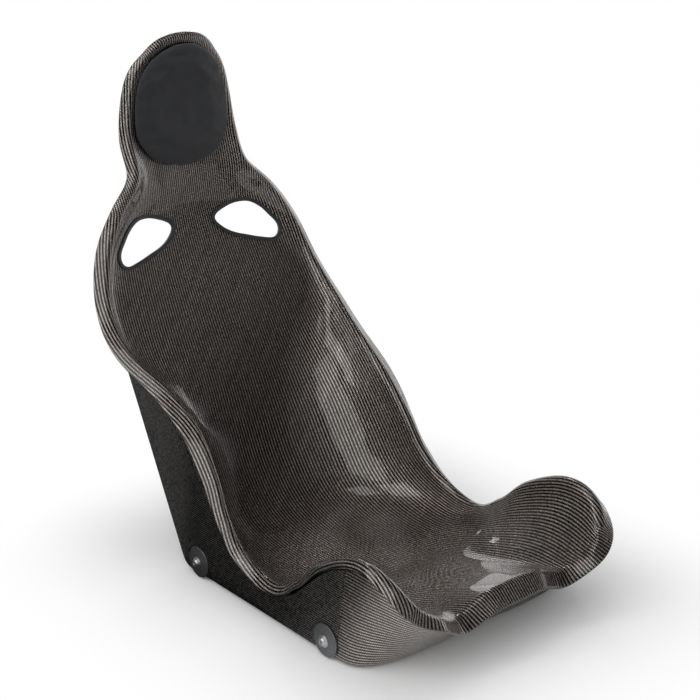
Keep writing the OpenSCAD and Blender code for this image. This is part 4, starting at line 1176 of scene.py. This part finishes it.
def floor_material():
    """Matt white paper: a flat, even white with a grain too faint to draw the eye."""
    material, tree = new_material("matt_white_paper")
    place = add(tree, "TexCoord", out="Object")
    noise = add(tree, "TexNoise", {"Vector": place, "Scale": per_metre(PAPER_GRAIN), "Detail": 3.0})
    tints = {0: noise, 6: linear("#f4f4f4"), 7: linear("#fafafa")}
    tint = add(tree, "Mix", tints, 2, data_type="RGBA")
    x, y, _ = add(tree, "SeparateXYZ", [place]).node.outputs
    level = add(tree, "CombineXYZ", [x, y])
    # distance from the base, which turns the camera's view from lit paper to clean white
    off_middle = add(tree, "VectorMath", [level], operation="ABSOLUTE")
    off_base = add(tree, "VectorMath", [off_middle, FOOTPRINT], operation="SUBTRACT")
    off_base = add(tree, "VectorMath", [off_base, (0.0, 0.0, 0.0)], operation="MAXIMUM")
    distance = add(tree, "VectorMath", [off_base], "Value", operation="LENGTH")
    away = add(tree, "MapRange", [distance, CLEAR_FROM, CLEAR_AT], interpolation_type="SMOOTHSTEP")
    camera_ray = add(tree, "LightPath", out="Is Camera Ray")
    clean_share = add(tree, "Math", [away, camera_ray], operation="MULTIPLY")
    # where other rays meet paper: behind the seat, and on the sheet under the lip
    back = add(tree, "VectorMath", [level, BACKDROP], "Value", operation="DOT_PRODUCT")
    behind = add(tree, "MapRange", [back, PAPER_FROM, PAPER_AT], interpolation_type="SMOOTHSTEP")
    off_sheet = add(tree, "VectorMath", [level, SHEET], "Value", operation="DISTANCE")
    sheet_reach = [off_sheet, SHEET_END, SHEET_FULL]
    on_sheet = add(tree, "MapRange", sheet_reach, interpolation_type="SMOOTHSTEP")
    papered = add(tree, "Math", [behind, on_sheet], operation="MAXIMUM")
    pale = add(tree, "Math", [papered, camera_ray], operation="MAXIMUM")
    colour = add(tree, "Mix", {0: pale, 6: linear(STUDIO), 7: tint}, 2, data_type="RGBA")
    paper = add(tree, "BsdfPrincipled", {"Base Color": colour, "Roughness": 0.9})
    clean = add(tree, "Emission", {"Color": linear("#ffffff"), "Strength": 1.0})
    add(tree, "OutputMaterial", {"Surface": add(tree, "MixShader", [clean_share, paper, clean])})
    return material


floor = bpy.data.objects.new("floor", bpy.data.meshes.new("floor"))
floor_corners = np.array([(-1, -1), (1, -1), (1, 1), (-1, 1)]) * FLOOR
floor_points = [(x * MM, y * MM, -FLOOR_DROP * MM) for x, y in floor_corners.tolist()]
floor.data.from_pydata(floor_points, [], [(0, 1, 2, 3)])
floor.data.materials.append(floor_material())
bpy.context.scene.collection.objects.link(floor)
print(f"floor: {2 * FLOOR * MM:.0f} m square, clean white {CLEAR_AT} m from the base")

# %% [markdown]
# ## Surround
# The world stands for the walls. To the camera it is plain white. In reflections the paper
# behind the seat rises as a low bright screen, above and beside which the room is dark, and to
# matt surfaces it is an even fill. A sky texture would bring colours and a sun that a studio
# doesn't have.

# %% World
ROOM, PAPER, FILL = 0.01, 1.0, 0.6
SCREEN_SIDE, SCREEN_TOP = (0.15, 0.85), (0.37, 0.27)  # as parts of a direction of length 1
world = bpy.data.worlds.new("studio")
bpy.context.scene.world = world
world.use_nodes = True
sky = world.node_tree
sky.nodes.clear()
way = add(sky, "TexCoord", out="Generated")
to_paper = add(sky, "VectorMath", [way, BACKDROP], "Value", operation="DOT_PRODUCT")
behind_seat = add(sky, "MapRange", [to_paper, *SCREEN_SIDE], interpolation_type="SMOOTHSTEP")
upward = add(sky, "SeparateXYZ", [way], "Z")
below_top = add(sky, "MapRange", [upward, *SCREEN_TOP], interpolation_type="SMOOTHSTEP")
on_screen = add(sky, "Math", [behind_seat, below_top], operation="MULTIPLY")
mirrored = add(sky, "Math", [on_screen, PAPER, ROOM], operation="MULTIPLY_ADD")
rays = add(sky, "LightPath").node.outputs
lit = add(sky, "Mix", {0: rays["Is Glossy Ray"], 2: FILL, 3: mirrored})
glow = add(sky, "Mix", {0: rays["Is Camera Ray"], 2: lit, 3: 1.0})
surround = add(sky, "Background", {"Color": linear("#ffffff"), "Strength": glow})
add(sky, "OutputWorld", {"Surface": surround})
print(f"world: {len(sky.nodes)} nodes, white to the camera, fill {FILL}")

# %% [markdown]
# ## Lamps
# Soft boxes draw the long highlights: a large one at the front left for the rim and the side,
# tall ones along the left, weak ones from the front and above to open the shade, and a small
# window high on the right for the bright streaks down the far wall. Area lamps are used since
# their shape shows in the clear coat. Their power is set so that colours render as written.

# %% Soft boxes
AIM = (0, 0, 0.3)


def softbox(name, place, size, power):
    """A rectangular lamp at a place in metres, turned to the middle of the seat."""
    lamp = bpy.data.lights.new(name, "AREA")
    lamp.shape, lamp.size, lamp.size_y, lamp.energy = "RECTANGLE", size[0], size[1], power
    obj = bpy.data.objects.new(name, lamp)
    obj.location = Vector(place)
    obj.rotation_euler = (Vector(AIM) - Vector(place)).to_track_quat("-Z", "Y").to_euler()
    bpy.context.scene.collection.objects.link(obj)
    print(f"{name}: {power} W over {size[0]} by {size[1]} m")


softbox("left_front", (-1.65, -1.03, 1.33), (2.0, 2.0), 15)
softbox("left", (-1.99, 0.66, 0.96), (0.6, 1.6), 6)
softbox("upper_left", (-1.30, 0.43, 2.03), (0.8, 1.4), 6)
softbox("top", (0.10, 0.0, 2.4), (0.8, 0.8), 3)
softbox("front", (0.10, -1.75, 1.62), (1.4, 1.4), 0.7)
softbox("front_right", (1.21, -1.83, 0.35), (1.4, 1.0), 1.4)
softbox("window_right", (1.12, 1.34, 1.64), (0.2, 0.36), 2.6)
softbox("low_right", (2.10, 0.00, 0.50), (0.3, 1.4), 1.5)

# %% [markdown]
# ## Camera
# The seat is seen from the front left and a little above, as in a catalogue, so the inside,
# one side and the front wall all show. The lens is fairly long, which keeps the far side from
# shrinking. The camera's three axes are given, so its roll is exact.

# %% Camera
LENS, SENSOR, CLIP = 74.57, 36.0, 20  # mm, mm, m
CAMERA_AT = (-1270.5, -1441.1, 1013.9)
RIGHT, UP, BACK = (0.761, -0.649, 0.001), (0.213, 0.251, 0.944), (-0.613, -0.718, 0.329)
camera_data = bpy.data.cameras.new("camera")
camera_data.lens, camera_data.sensor_width, camera_data.clip_end = LENS, SENSOR, CLIP
camera = bpy.data.objects.new("camera", camera_data)
turn_to = Matrix((RIGHT, UP, BACK)).transposed().to_4x4()
camera.matrix_world = Matrix.Translation(Vector(CAMERA_AT) * MM) @ turn_to
bpy.context.scene.collection.objects.link(camera)
bpy.context.scene.camera = camera
bpy.context.scene.view_settings.view_transform = "Standard"
print(f"camera: {LENS} mm lens, {Vector(CAMERA_AT).length * MM:.2f} m from the seat's origin")
